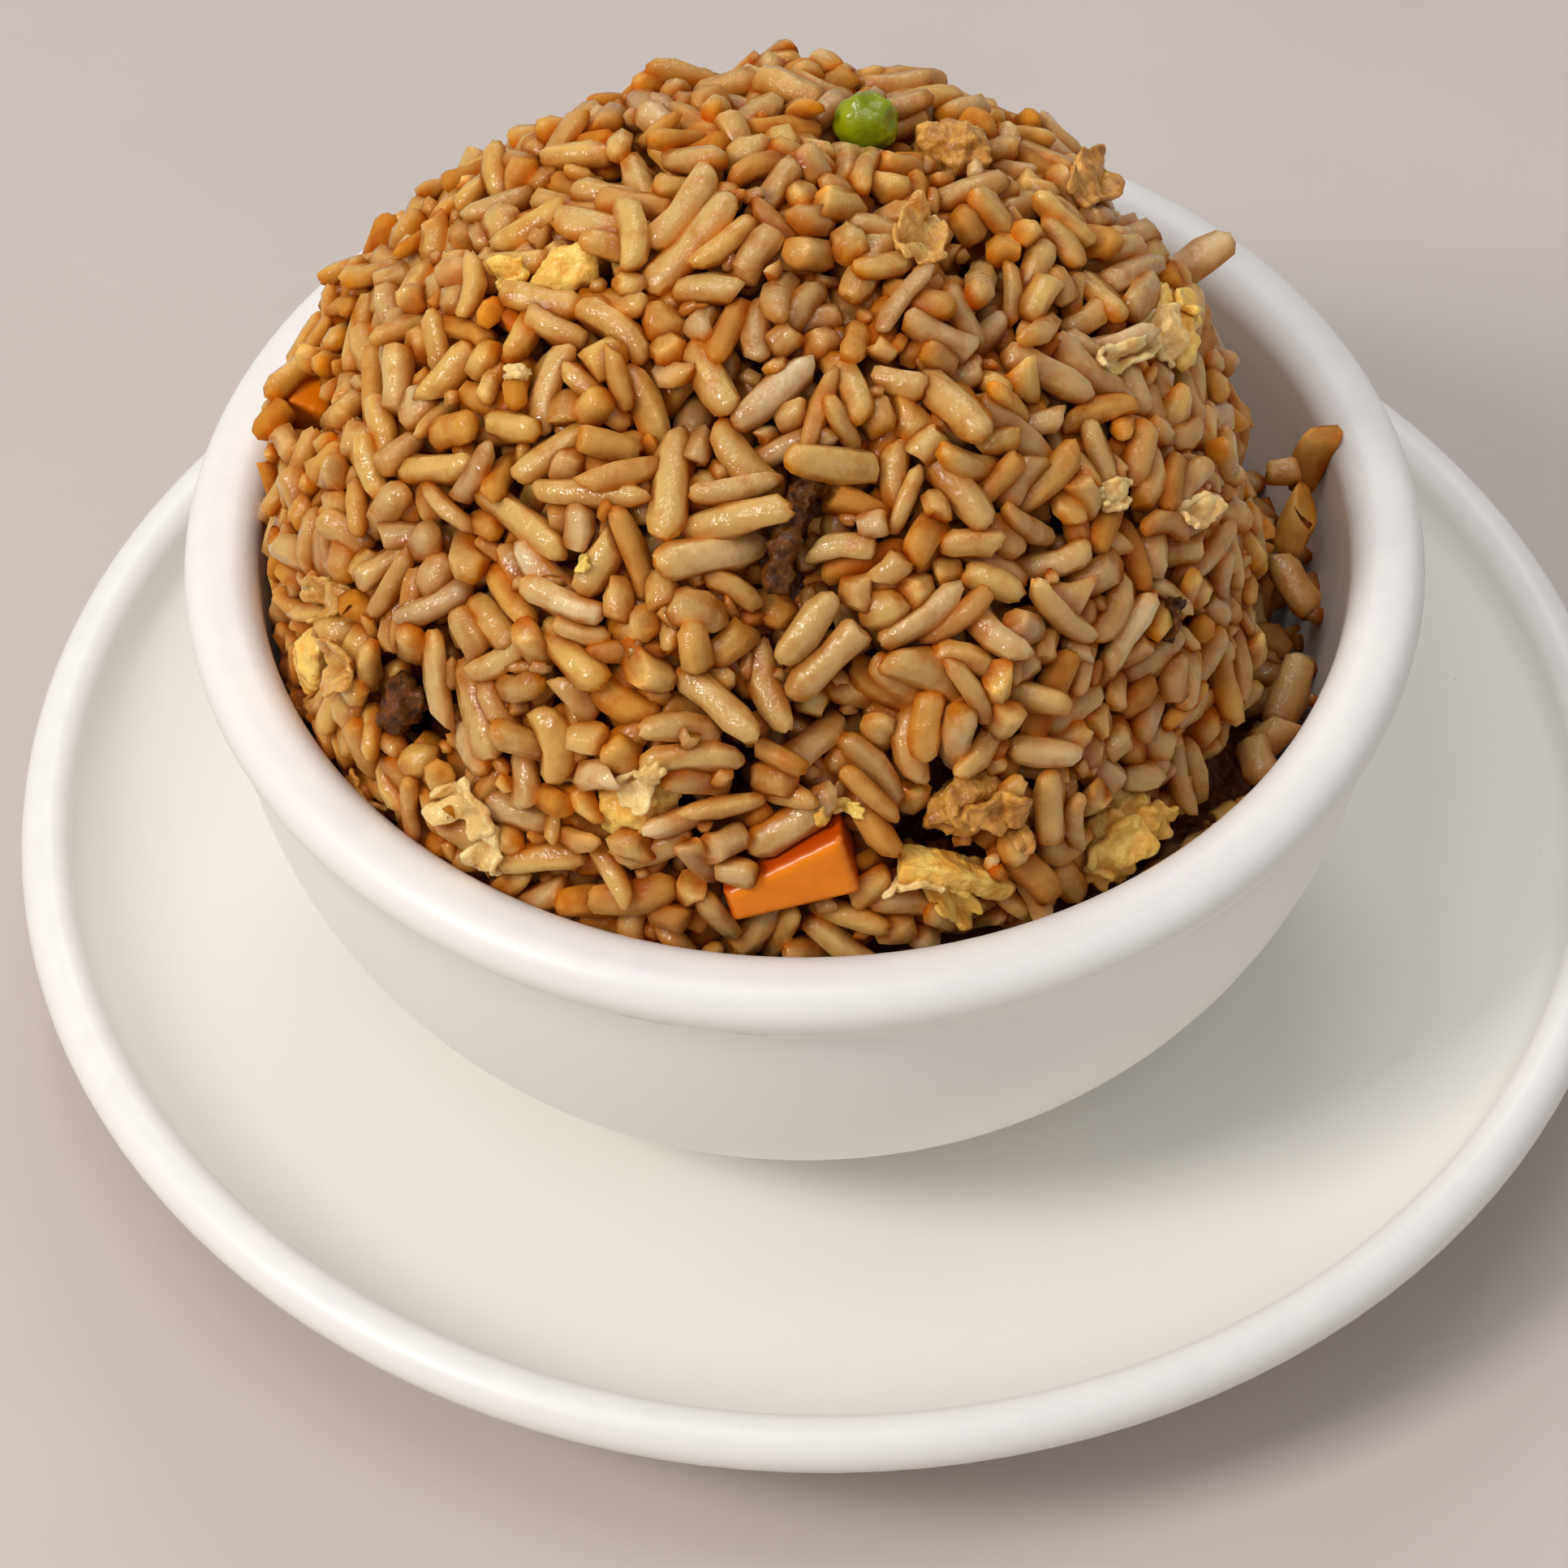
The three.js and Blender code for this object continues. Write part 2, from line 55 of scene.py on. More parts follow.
PLATE_LOW, PLATE_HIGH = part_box("plate")
PLATE_RADIUS = (PLATE_HIGH.x - PLATE_LOW.x) / 2
PLATE_TOP = PLATE_HIGH.z
PLATE_ROLL = 2.26 * MM  # radius of the rolled rim
PLATE_FLOOR = 4.7 * MM  # top of the flat middle
PLATE_FLOOR_RADIUS = 40 * MM
PLATE_RECESS = 1.3 * MM  # height of the underside inside the foot ring
PLATE_FOOT = (37.5 * MM, 41.5 * MM)  # inner and outer radius of the foot ring

BOWL_LOW, BOWL_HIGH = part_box("bowl")
BOWL_CENTRE = (BOWL_LOW + BOWL_HIGH) / 2
BOWL_RADIUS = (BOWL_HIGH.x - BOWL_LOW.x) / 2
BOWL_FOOT = BOWL_LOW.z
BOWL_TOP = BOWL_HIGH.z
BOWL_ROLL = 2.45 * MM  # radius of the rim's outer roll
BOWL_LIP = 6.1 * MM  # width of the rim from outside to inside
BOWL_LIP_ROUND = 2.6 * MM  # radius of the rim's inner edge
BOWL_FOOT_RING = (22.6 * MM, 26.2 * MM)
BOWL_RECESS = 2.6 * MM
BOWL_FLOOR = 7 * MM  # inside floor above the bottom of the foot
BOWL_FLOOR_RADIUS = 12 * MM

DOME_CENTRE = Vector((-4.7, -1.2, 44.8)) * MM
DOME_REACH = Vector((41.2, 41.2, 39.7)) * MM  # half axes of the dome with its grains
BED_LEVEL = 39 * MM  # mean top of the loose rice beside the dome
BED_TILT = 5 * MM  # it is this much higher in front, and lower behind
BED_HIGH_AZIMUTH = -105
LAYER = 7.6 * MM  # depth of loose grains over the core
CORE_FLOOR_GAP = 0.4 * MM
CORE_WALL_GAP = 1.4 * MM
CORE_TILTED = 14 * MM  # height over which the core takes up the bed's tilt
CORE_SHIFTED = 6 * MM  # height over which it moves over to the dome's middle
LUMP_SIZE = 17 * MM
LUMP_HEIGHT = 2.0 * MM
KNOB_SIZE = 7 * MM
KNOB_HEIGHT = 1.5 * MM

# ---------------- camera, light and floor

CAMERA_PLACE = Vector((-3.5, -252.6, 313.8)) * MM
CAMERA_ELEVATION = math.radians(49.74)
CAMERA_ROLL = math.radians(-0.52)
CAMERA_LENS = 102.5
CAMERA_SENSOR = 36


def add_camera():
    bpy.ops.object.camera_add(location=CAMERA_PLACE)
    camera = bpy.context.object
    look_down = Matrix.Rotation(math.pi / 2 - CAMERA_ELEVATION, 4, "X")
    turn = look_down @ Matrix.Rotation(CAMERA_ROLL, 4, "Z")
    camera.rotation_euler = turn.to_euler()
    camera.data.lens = CAMERA_LENS
    camera.data.sensor_width = CAMERA_SENSOR
    bpy.context.scene.camera = camera


# Soft square lamps round the dish: name, azimuth, elevation, side length, watts and colour.
SOFTBOXES = [
    ("key_softbox", 210, 45, 0.2, 3.3, "FFFBF5"),
    ("top_softbox", 215, 80, 0.35, 1.4, "FFFFFF"),
    ("back_softbox", 90, 45, 0.35, 1.1, "FFFFFF"),
    ("right_softbox", 330, 20, 0.35, 0.22, "FFFFFF"),
    ("front_softbox", 270, 55, 0.35, 0.25, "FFFFFF"),
]
LAMP_DISTANCE = 0.8
LAMP_TARGET = Vector((0, 0, 0.04))
ROOM_LIGHT = 0.36


def direction(azimuth, elevation):
    """The unit vector at an azimuth and an elevation in degrees."""
    level = math.cos(math.radians(elevation))
    turn = math.radians(azimuth)
    return Vector((level * math.cos(turn), level * math.sin(turn), math.sin(math.radians(elevation))))


def add_softbox(name, azimuth, elevation, size, watts, colour):
    way = direction(azimuth, elevation)
    bpy.ops.object.light_add(type="AREA", location=LAMP_TARGET + LAMP_DISTANCE * way)
    lamp = bpy.context.object
    lamp.name = name
    lamp.rotation_euler = (-way).to_track_quat("-Z", "Y").to_euler()
    lamp.data.shape = "SQUARE"
    lamp.data.size = size
    lamp.data.energy = watts
    lamp.data.color = srgb(colour)[:3]


def light_the_room():
    world = bpy.data.worlds.new("studio_air")
    bpy.context.scene.world = world
    world.use_nodes = True
    world.node_tree.nodes["Background"].inputs["Color"].default_value = srgb("FFFFFF")
    world.node_tree.nodes["Background"].inputs["Strength"].default_value = ROOM_LIGHT


# ---------------- materials


def srgb(text):
    """A colour written as six hex digits, as linear red, green, blue and alpha."""
    shares = [int(text[i : i + 2], 16) / 255 for i in (0, 2, 4)]
    linear = [s / 12.92 if s <= 0.04045 else ((s + 0.055) / 1.055) ** 2.4 for s in shares]
    return (*linear, 1.0)


def fill(tree, node, inputs):
    """Sets a node's inputs, by name or in their order, to numbers, colours or other nodes' outputs."""
    for name, value in inputs.items() if isinstance(inputs, dict) else enumerate(inputs):
        if isinstance(value, bpy.types.NodeSocket):
            tree.links.new(value, node.inputs[name])
        else:
            node.inputs[name].default_value = value


def add_node(tree, kind, inputs=(), output=0, **settings):
    """Adds a node with its settings and links, and returns one of its outputs."""
    made = tree.nodes.new("ShaderNode" + kind)
    for name, value in settings.items():
        setattr(made, name, value)
    fill(tree, made, inputs)
    return made.outputs[output]


def new_material(name):
    """An empty material with a Principled surface; returns it, its tree and its shader node."""
    material = bpy.data.materials.new(name)
    material.use_nodes = True
    tree = material.node_tree
    return material, tree, tree.nodes["Principled BSDF"]


def coloured(tree, colour, *layers, mode="MIX"):
    """Lays colours over a first one, each by its share."""
    for share, over in layers:
        inputs = {0: share, 6: colour, 7: over}
        colour = add_node(tree, "Mix", inputs, 2, data_type="RGBA", blend_type=mode)
    return colour


def glazed_stoneware(name, top, roll, line=None):
    """Warm white glaze, fired glossy over stoneware: soft broad reflections and small marks of use.

    The rolled rim is rubbed a little duller. If line is given, a thin, broken grey line of painted
    shade runs round at that height, where shade falls under the rim's roll.
    """
    material, tree, shader = new_material(name)
    place = add_node(tree, "TexCoord", (), "Object")
    level = add_node(tree, "SeparateXYZ", (place,), "Z")
    cloud = add_node(tree, "TexNoise", {"Vector": place, "Scale": 1 / (22 * MM), "Detail": 3})
    marks = add_node(tree, "TexNoise", {"Vector": place, "Scale": 1 / (3 * MM), "Detail": 3})
    on_rim = add_node(tree, "MapRange", (level, top - roll, top))
    rubbed = add_node(tree, "Math", (on_rim, marks), operation="MULTIPLY")
    layers = [(cloud, srgb("EFECE6")), (rubbed, srgb("E6E1E2"))]
    if line:
        # A thin, broken grey line of painted shade, where shade falls under the rim's roll.
        swayed = add_node(tree, "Math", (cloud, 3 * MM, level), operation="MULTIPLY_ADD")
        near_shade_line = (swayed, line + 1.5 * MM, 0.18 * MM)
        on_shade_line = add_node(tree, "Math", near_shade_line, operation="COMPARE")
        broken = add_node(tree, "MapRange", (marks, 0.5, 0.7))
        on_shade_line = add_node(tree, "Math", (on_shade_line, broken), operation="MULTIPLY")
        layers.append((on_shade_line, srgb("CCC7C0")))
    fine = add_node(tree, "TexNoise", {"Vector": place, "Scale": 1 / (1.1 * MM), "Detail": 2})
    speck = add_node(tree, "MapRange", (fine, 0.8, 0.84))
    layers.append((speck, srgb("A09A92")))
    dull = add_node(tree, "TexNoise", {"Vector": place, "Scale": 1 / (9 * MM), "Detail": 3})
    finish = {
        "Base Color": coloured(tree, srgb("F5F2ED"), *layers),
        "Roughness": add_node(tree, "MapRange", (dull, -1.2, 3.2)),
        "Normal": add_node(tree, "Bump", {"Height": cloud, "Strength": 0.25, "Distance": 0.3 * MM}),
    }
    fill(tree, shader, finish)
    return material


def table_top():
    """Pale matt table, with barely any pattern."""
    material, tree, shader = new_material("matt_table_top")
    place = add_node(tree, "TexCoord", (), "Object")
    cloud = add_node(tree, "TexNoise", {"Vector": place, "Scale": 1 / (40 * MM), "Detail": 4})
    colour = coloured(tree, srgb("CBC0BB"), (cloud, srgb("C1B6B1")))
    fill(tree, shader, {"Base Color": colour, "Roughness": 0.7})
    return material


def cooked_rice():
    """Long-grain rice fried in soy sauce and oil.

    The starch is translucent and tan, and amber where a grain has taken up more soy. Painted shade
    darkens the lower flanks, the places where grains touch (where soy also gathers), each grain's
    groove, and all deep in the heap, from amber to dark brown. The oil is bumpier than the grain,
    and gives small, broken highlights.
    """
    material, tree, shader = new_material("fried_long_grain_rice")
    names = ("tone", "pale", "crease", "flank_shade_and_soak", "contact_shade_and_sauce", "depth")
    shares = [add_node(tree, "Attribute", (), "Fac", attribute_name="grain_" + name) for name in names]
    tone, pale, crease, flank_shade_and_soak, contact_shade_and_sauce, depth = shares
    local = add_node(tree, "Attribute", (), "Vector", attribute_name="grain_place")
    # Painted shade along the groove of creased grains.
    line = add_node(tree, "Math", (crease, 0.5), operation="MULTIPLY")
    cloud = add_node(tree, "TexNoise", {"Vector": local, "Scale": 1 / (1.9 * MM), "Detail": 3})
    patches = add_node(tree, "MapRange", (cloud, 0.5, 0.82))
    fine = add_node(tree, "TexNoise", {"Vector": local, "Scale": 1 / (0.5 * MM), "Detail": 1})
    specks = add_node(tree, "MapRange", (fine, 0.84, 0.87))
    starch = coloured(tree, srgb("D4AA58"), (tone, srgb("BE9A66")), (pale, srgb("DEC698")))
    # Multiplied over the starch: sauce patches and each grain's soak, with painted shade on the lower flanks,
    # where grains touch and in the groove.
    stains_and_shade = [(flank_shade_and_soak, srgb("EAB248")), (contact_shade_and_sauce, srgb("DEA02C"))]
    stains_and_shade += [(patches, srgb("E6B45C")), (line, srgb("D8A468"))]
    stained_and_shaded = coloured(tree, starch, *stains_and_shade, mode="MULTIPLY")
    # Painted shade deep in the heap, which is also the colour of grains that the pan has browned.
    shade_and_stain = coloured(tree, srgb("A86006"), (tone, srgb("7A4008")))
    knobs = add_node(tree, "TexNoise", {"Vector": local, "Scale": 1 / (1.1 * MM), "Detail": 3})
    skin = add_node(tree, "Bump", {"Height": knobs, "Distance": 0.28 * MM})
    grooved = {"Height": crease, "Distance": 0.1 * MM, "Normal": skin}
    skin = add_node(tree, "Bump", grooved, invert=True)
    drops = add_node(tree, "TexNoise", {"Vector": local, "Scale": 1 / (0.45 * MM), "Detail": 2})
    under = add_node(tree, "Math", (depth, flank_shade_and_soak), operation="MAXIMUM")
    coat = add_node(tree, "MapRange", (under, 0.8, 0.05))
    oil = add_node(tree, "Bump", {"Height": drops, "Distance": 0.13 * MM, "Normal": skin})
    shader.subsurface_method = "BURLEY"
    finish = {
        "Base Color": coloured(tree, stained_and_shaded, (specks, srgb("3A1C08")), (depth, shade_and_stain)),
        "Subsurface Weight": 1.0,
        "Subsurface Radius": (1.0, 1.0, 1.0),
        "Subsurface Scale": 1.4 * MM,
        "Specular IOR Level": 0.06,
        "Roughness": 0.55,
        "Coat Weight": coat,
        "Coat Roughness": 0.09,
        "Coat IOR": 1.5,
        "Normal": skin,
        "Coat Normal": oil,
    }
    fill(tree, shader, finish)
    return material


def packed_core():
    """The inside of the heap that shows between the grains: soy-brown, painted dark as the shade in deep
    gaps.
    """
    material, tree, shader = new_material("soy_rice_core_in_painted_shade")
    place = add_node(tree, "TexCoord", (), "Object")
    cloud = add_node(tree, "TexNoise", {"Vector": place, "Scale": 1 / (2.5 * MM), "Detail": 3})
    knobs = add_node(tree, "TexNoise", {"Vector": place, "Scale": 1 / (2.2 * MM), "Detail": 2})
    finish = {
        "Base Color": coloured(tree, srgb("8A4A0E"), (cloud, srgb("4A1E04"))),
        "Roughness": 0.4,
        "Normal": add_node(tree, "Bump", {"Height": knobs, "Distance": 2 * MM}),
    }
    fill(tree, shader, finish)
    return material


def food(name, colours, lump, gloss, glow, wet=0.6, pits=0.16):
    """A moist piece of food, with some light passing through.

    Its two first colours lie in lumps of a size. The third is soy taken up on the carrot's top, and
    painted shade where other pieces lie deep in the heap. The pits in its surface are so deep as a share of
    the lumps.
    """
    material, tree, shader = new_material(name)
    light, dark, deep = (srgb(colour) for colour in colours)
    place = add_node(tree, "TexCoord", (), "Object")
    cloud = add_node(tree, "TexNoise", {"Vector": place, "Scale": 1 / lump, "Detail": 4})
    darker = add_node(tree, "MapRange", (cloud, 0.35, 0.68))
    # Painted shade deep in the heap, and soy on the carrot's top.
    shade_and_stain = add_node(tree, "Attribute", (), "Fac", attribute_name="shade_and_stain")
    fine = add_node(tree, "TexNoise", {"Vector": place, "Scale": 3 / lump, "Detail": 3})
    bump = add_node(tree, "Bump", {"Height": fine, "Distance": lump * pits})
    finish = {
        "Base Color": coloured(tree, light, (darker, dark), (shade_and_stain, deep)),
        "Subsurface Weight": glow,
        "Subsurface Radius": (1.0, 1.0, 1.0),
        "Subsurface Scale": 0.9 * MM,
        "Specular IOR Level": 0.2,
        "Roughness": gloss,
        "Coat Weight": wet,
        "Coat Roughness": 0.1,
        "Normal": bump,
        "Coat Normal": bump,
    }
    fill(tree, shader, finish)
    return material


# ---------------- modelling tools


def deselect():
    bpy.ops.object.select_all(action="DESELECT")


def new_piece(name, mesh):
    piece = bpy.data.objects.new(name, mesh)
    bpy.context.scene.collection.objects.link(piece)
    return piece


def hand_over(piece, material, slot, *nodes):
    """Gives a finished piece its material and the root body, and hides the CAD nodes it stands for; slot is
    not used.
    """
    piece.data.materials.clear()
    piece.data.materials.append(material)
    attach(piece, "root")
    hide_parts(*nodes)


def bezier(start, pull1, pull2, end, count):
    points = []
    for i in range(count + 1):
        t = i / count
        weights = ((1 - t) ** 3, 3 * t * (1 - t) ** 2, 3 * t * t * (1 - t), t**3)
        corners = (start, pull1, pull2, end)
        points.append(tuple(sum(w * c[k] for w, c in zip(weights, corners)) for k in (0, 1)))
    return points


def arc(x, y, radius, low, high, count):
    """Points on an arc, angles in degrees."""
    points = []
    for i in range(count + 1):
        angle = math.radians(low + (high - low) * i / count)
        points.append((x + radius * math.cos(angle), y + radius * math.sin(angle)))
    return points


def turned(name, centre, profile, around):
    """A closed round piece: a disc whose edge is extruded, ring by ring, along (radius, height)."""
    x, y = centre
    deselect()
    radius, height = profile[0]
    place = (x, y, height)
    bpy.ops.mesh.primitive_circle_add(vertices=around, radius=radius, fill_type="NGON", location=place)
    piece = bpy.context.object
    piece.name = name
    bpy.ops.object.mode_set(mode="EDIT")
    bpy.ops.mesh.select_mode(type="EDGE")
    bpy.ops.mesh.select_all(action="SELECT")
    for (radius, height), (next_radius, next_height) in zip(profile, profile[1:]):
        share = next_radius / radius
        bpy.ops.mesh.extrude_edges_move(TRANSFORM_OT_translate={"value": (0, 0, next_height - height)})
        bpy.ops.transform.resize(value=(share, share, 1), center_override=(x, y, next_height))
    bpy.ops.mesh.edge_face_add()
    bpy.ops.mesh.select_all(action="SELECT")
    bpy.ops.mesh.normals_make_consistent(inside=False)
    bpy.ops.object.mode_set(mode="OBJECT")
    bpy.ops.object.transform_apply(location=True, rotation=True, scale=True)
    bpy.ops.object.shade_smooth()
    return piece


def apply_modifier(piece, kind, **settings):
    """Adds a modifier with its settings and applies it."""
    modifier = piece.modifiers.new(kind.lower(), kind)
    for name, value in settings.items():
        setattr(modifier, name, value)
    bpy.context.view_layer.objects.active = piece
    bpy.ops.object.modifier_apply(modifier=modifier.name)


# ---------------- plate and bowl

AROUND = 128  # sides of the plate and the bowl
CORE_AROUND = 72


def plate_profile():
    roll_x = PLATE_RADIUS - PLATE_ROLL
    roll_z = PLATE_TOP - PLATE_ROLL
    foot_in, foot_out = PLATE_FOOT
    start, end = (foot_out + 1.2 * MM, 1.4 * MM), (roll_x - 1.6 * MM, roll_z - 2.9 * MM)
    under = bezier(start, (54 * MM, 3.2 * MM), (61 * MM, 8.4 * MM), end, 10)
    start, end = (roll_x - 2.7 * MM, roll_z - 1.5 * MM), (PLATE_FLOOR_RADIUS, PLATE_FLOOR)
    inside = bezier(start, (59.5 * MM, 9.3 * MM), (53 * MM, 5.4 * MM), end, 16)
    return [
        (5 * MM, PLATE_RECESS),
        (foot_in - 1.4 * MM, PLATE_RECESS),
        (foot_in - 0.5 * MM, PLATE_RECESS - 0.3 * MM),
        (foot_in, 0.3 * MM),
        (foot_in + 0.7 * MM, 0),
        (foot_out - 0.7 * MM, 0),
        (foot_out, 0.3 * MM),
        *under,
        *arc(roll_x, roll_z, PLATE_ROLL, -90, 180, 12),
        *inside,
        (20 * MM, PLATE_FLOOR),
        (5 * MM, PLATE_FLOOR),
    ]


def bowl_inside():
    """The inside of the bowl, from its floor's edge up to its inner lip."""
    lip_x = BOWL_RADIUS - BOWL_LIP
    start = (BOWL_FLOOR_RADIUS, BOWL_FOOT + BOWL_FLOOR)
    end = (lip_x, BOWL_TOP - BOWL_LIP_ROUND)
    return bezier(start, (34 * MM, BOWL_FOOT + 7.2 * MM), (43.8 * MM, BOWL_FOOT + 20 * MM), end, 16)


def bowl_profile():
    roll_x = BOWL_RADIUS - BOWL_ROLL
    roll_z = BOWL_TOP - BOWL_ROLL
    lip_x = BOWL_RADIUS - BOWL_LIP + BOWL_LIP_ROUND
    lip_z = BOWL_TOP - BOWL_LIP_ROUND
    ring_in, ring_out = BOWL_FOOT_RING
    start = (ring_out + 0.5 * MM, BOWL_FOOT + 2.2 * MM)
    end = (roll_x + 0.4 * MM, roll_z - 4.3 * MM)
    wall = bezier(start, (40 * MM, BOWL_FOOT + 5.2 * MM), (48.3 * MM, BOWL_FOOT + 17 * MM), end, 16)
    return [
        (5 * MM, BOWL_FOOT + BOWL_RECESS),
        (ring_in - 1.6 * MM, BOWL_FOOT + BOWL_RECESS),
        (ring_in - 0.6 * MM, BOWL_FOOT + BOWL_RECESS - 0.5 * MM),
        (ring_in, BOWL_FOOT + 0.4 * MM),
        (ring_in + 0.7 * MM, BOWL_FOOT),
        (ring_out - 0.7 * MM, BOWL_FOOT),
        (ring_out, BOWL_FOOT + 0.4 * MM),
        *wall,
        *arc(roll_x, roll_z, BOWL_ROLL, -50, 90, 8),
        *arc(lip_x, lip_z, BOWL_LIP_ROUND, 90, 165, 5),
        *reversed(bowl_inside()),
        (5 * MM, BOWL_FOOT + BOWL_FLOOR),
    ]


WALL_RADII, WALL_HEIGHTS = np.array(bowl_inside()).T
OUT_OF_REACH = 1.0  # above the lip there is no wall, so the room is as wide as this


def inside_radius(height):
    """Radius of the bowl's inside at one or more heights."""
    wall = np.interp(height, WALL_HEIGHTS, WALL_RADII)
    return np.where(np.asarray(height) > BOWL_TOP + 1.5 * MM, OUT_OF_REACH, wall)


# ---------------- form of the heap


def dome_point(azimuth, elevation):
    """A point on the dome's outline, angles in degrees, and the direction that is out there."""
    aim = direction(azimuth, elevation)
    place = DOME_CENTRE + aim * DOME_REACH
    out = Vector([a / r for a, r in zip(aim, DOME_REACH)]).normalized()
    return place, out


# Dark clefts between lumps of rice: azimuth, elevation, half width and depth in millimetres.
CLEFTS = [
    (-98, 63, 2.0, 2.2),
    (-82, 56, 2.2, 3.4),
    (-87, 49, 2.4, 3.8),
    (-91, 41, 2.2, 3.0),
    (-58, 75, 2.2, 2.8),
    (-5, 69, 3.0, 2.8),
    (-81, 28, 2.2, 2.6),
    (-73, 18, 2.2, 2.4),
    (-135, 19, 2.4, 2.6),
    (-30, -7, 2.6, 3.4),
    (-12, -8, 3.0, 4.4),
    (-118, 61, 2.2, 2.0),
    (-33, 62, 2.2, 2.4),
]
CLEFT_FORMS = [
    (dome_point(azimuth, elevation)[0], width * MM, depth * MM)
    for azimuth, elevation, width, depth in CLEFTS
]


def relief(place):
    """How far the heap's surface stands out at a place on its outline."""
    height = LUMP_HEIGHT * noise.noise(place / LUMP_SIZE + Vector((3.1, 7.7, 1.3)))
    height += KNOB_HEIGHT * noise.noise(place / KNOB_SIZE)
    cuts = []
    for middle, wide, deep in CLEFT_FORMS:
        cuts.append(deep * math.exp(-((place - middle).length_squared) / (2 * wide**2)))
    return height - max(cuts)


def bed_level(azimuth):
    return BED_LEVEL + BED_TILT * math.cos(math.radians(azimuth - BED_HIGH_AZIMUTH))


def dome_edge(azimuth):
    """Elevation, in degrees from the dome's centre, at which the dome goes into the loose rice."""
    return math.degrees(math.asin((bed_level(azimuth) - DOME_CENTRE.z) / DOME_REACH.z))


def bed_point(azimuth, share):
    """A point on the loose rice beside the dome: share 0 is at the dome, 1 at the bowl's wall."""
    inner, _ = dome_point(azimuth, dome_edge(azimuth))
    outer = BOWL_CENTRE + float(inside_radius(inner.z)) * direction(azimuth, 0)
    outer.z = inner.z
    return inner.lerp(outer, share)


# ---------------- core of the heap


def rice_core():
    """The bare core under the loose grains: it fills the bowl and rises to a dome above the bed.

    The step is tilted as the bed is, so each vertex near it moves up in front and down behind.
    """
    floor = BOWL_FOOT + BOWL_FLOOR + CORE_FLOOR_GAP
    shoulder = BED_LEVEL - LAYER
    rise = DOME_CENTRE.z + DOME_REACH.z - LAYER - shoulder
    profile = [(BOWL_FLOOR_RADIUS, floor)]
    for share in np.linspace(0.15, 1, 8):
        height = floor + (shoulder - floor) * share
        profile.append((float(inside_radius(height)) - CORE_WALL_GAP, height))
    for angle in np.linspace(0.02, 1.5, 22):
        height = shoulder + rise * math.sin(angle)
        profile.append(((DOME_REACH.x - LAYER) * math.cos(angle) ** 0.8, height))
    core = turned("rice_core", (BOWL_CENTRE.x, BOWL_CENTRE.y), profile, CORE_AROUND)
    for vertex in core.data.vertices:
        place = vertex.co
        azimuth = math.degrees(math.atan2(place.y - BOWL_CENTRE.y, place.x - BOWL_CENTRE.x))
        near_step = max(0.0, 1 - abs(place.z - shoulder) / CORE_TILTED)
        place.z += (bed_level(azimuth) - BED_LEVEL) * near_step
        above_step = min(1.0, max(0.0, (place.z - shoulder) / CORE_SHIFTED))
        place.x += (DOME_CENTRE.x - BOWL_CENTRE.x) * above_step
        place.y += (DOME_CENTRE.y - BOWL_CENTRE.y) * above_step
    return core


# ---------------- shapes of grains

# Outlines, end to end: radius as a share of the half width, and place as a share of the length.
GRAIN_OUTLINES = {
    "whole": [(0.34, -0.5), (0.74, -0.46), (0.97, -0.35), (1, -0.08), (0.98, 0.22), (0.8, 0.43), (0.36, 0.5)],
    "slim": [(0.36, -0.5), (0.76, -0.45), (0.97, -0.28), (1, 0.06), (0.86, 0.36), (0.36, 0.5)],
    "broken": [(0.36, -0.5), (0.78, -0.45), (1, -0.28), (1, 0.1), (1.03, 0.43), (0.9, 0.49), (0.6, 0.5)],
    "stub": [(0.6, -0.5), (0.92, -0.46), (1.03, -0.3), (1.04, 0.1), (1.0, 0.4), (0.88, 0.49), (0.5, 0.5)],
    "chunk": [(0.5, -0.5), (0.92, -0.36), (1.05, 0), (0.9, 0.34), (0.5, 0.5)],
    "crumb": [(0.6, -0.5), (0.98, -0.36), (1, 0.3), (0.55, 0.5)],
}
GRAIN_SIDES = 8
CRUMB_SIDES = 6

# Shortest and longest, narrowest and widest in millimetres; slant of the two ends; bend in
# millimetres; and how uneven the surface is, as a share of the width.
GRAIN_SIZES = {
    "whole": (5.2, 7.8, 2.2, 2.85, 0.15, 0.2, 0.8, 0.03),
    "slim": (4.4, 7.0, 1.8, 2.4, 0.2, 0.3, 0.9, 0.03),
    "broken": (3.2, 5.4, 2.2, 2.9, 0.15, 0.45, 0.4, 0.035),
    "stub": (2.1, 3.4, 2.1, 2.8, 0.35, 0.4, 0.1, 0.04),
    "chunk": (3.0, 4.4, 2.6, 3.5, 0.2, 0.2, 0.3, 0.08),
    "crumb": (1.2, 2.3, 1.1, 1.8, 0.6, 0.6, 0.0, 0.1),
}


def grain_shape(kind):
    """One grain along X, one long and one wide, as corner places and faces."""
    outline = [(radius / 2, height) for radius, height in GRAIN_OUTLINES[kind]]
    sides = CRUMB_SIDES if kind == "crumb" else GRAIN_SIDES
    shape = turned("grain_" + kind, (0, 0), outline, sides)
    corners = np.array([vertex.co for vertex in shape.data.vertices])
    faces = [tuple(polygon.vertices) for polygon in shape.data.polygons]
    bpy.data.objects.remove(shape)
    return corners[:, [2, 0, 1]], faces


def unit(vector):
    return vector / np.linalg.norm(vector)


def unit_rows(vectors):
    return vectors / np.linalg.norm(vectors, axis=1, keepdims=True).clip(1e-9)


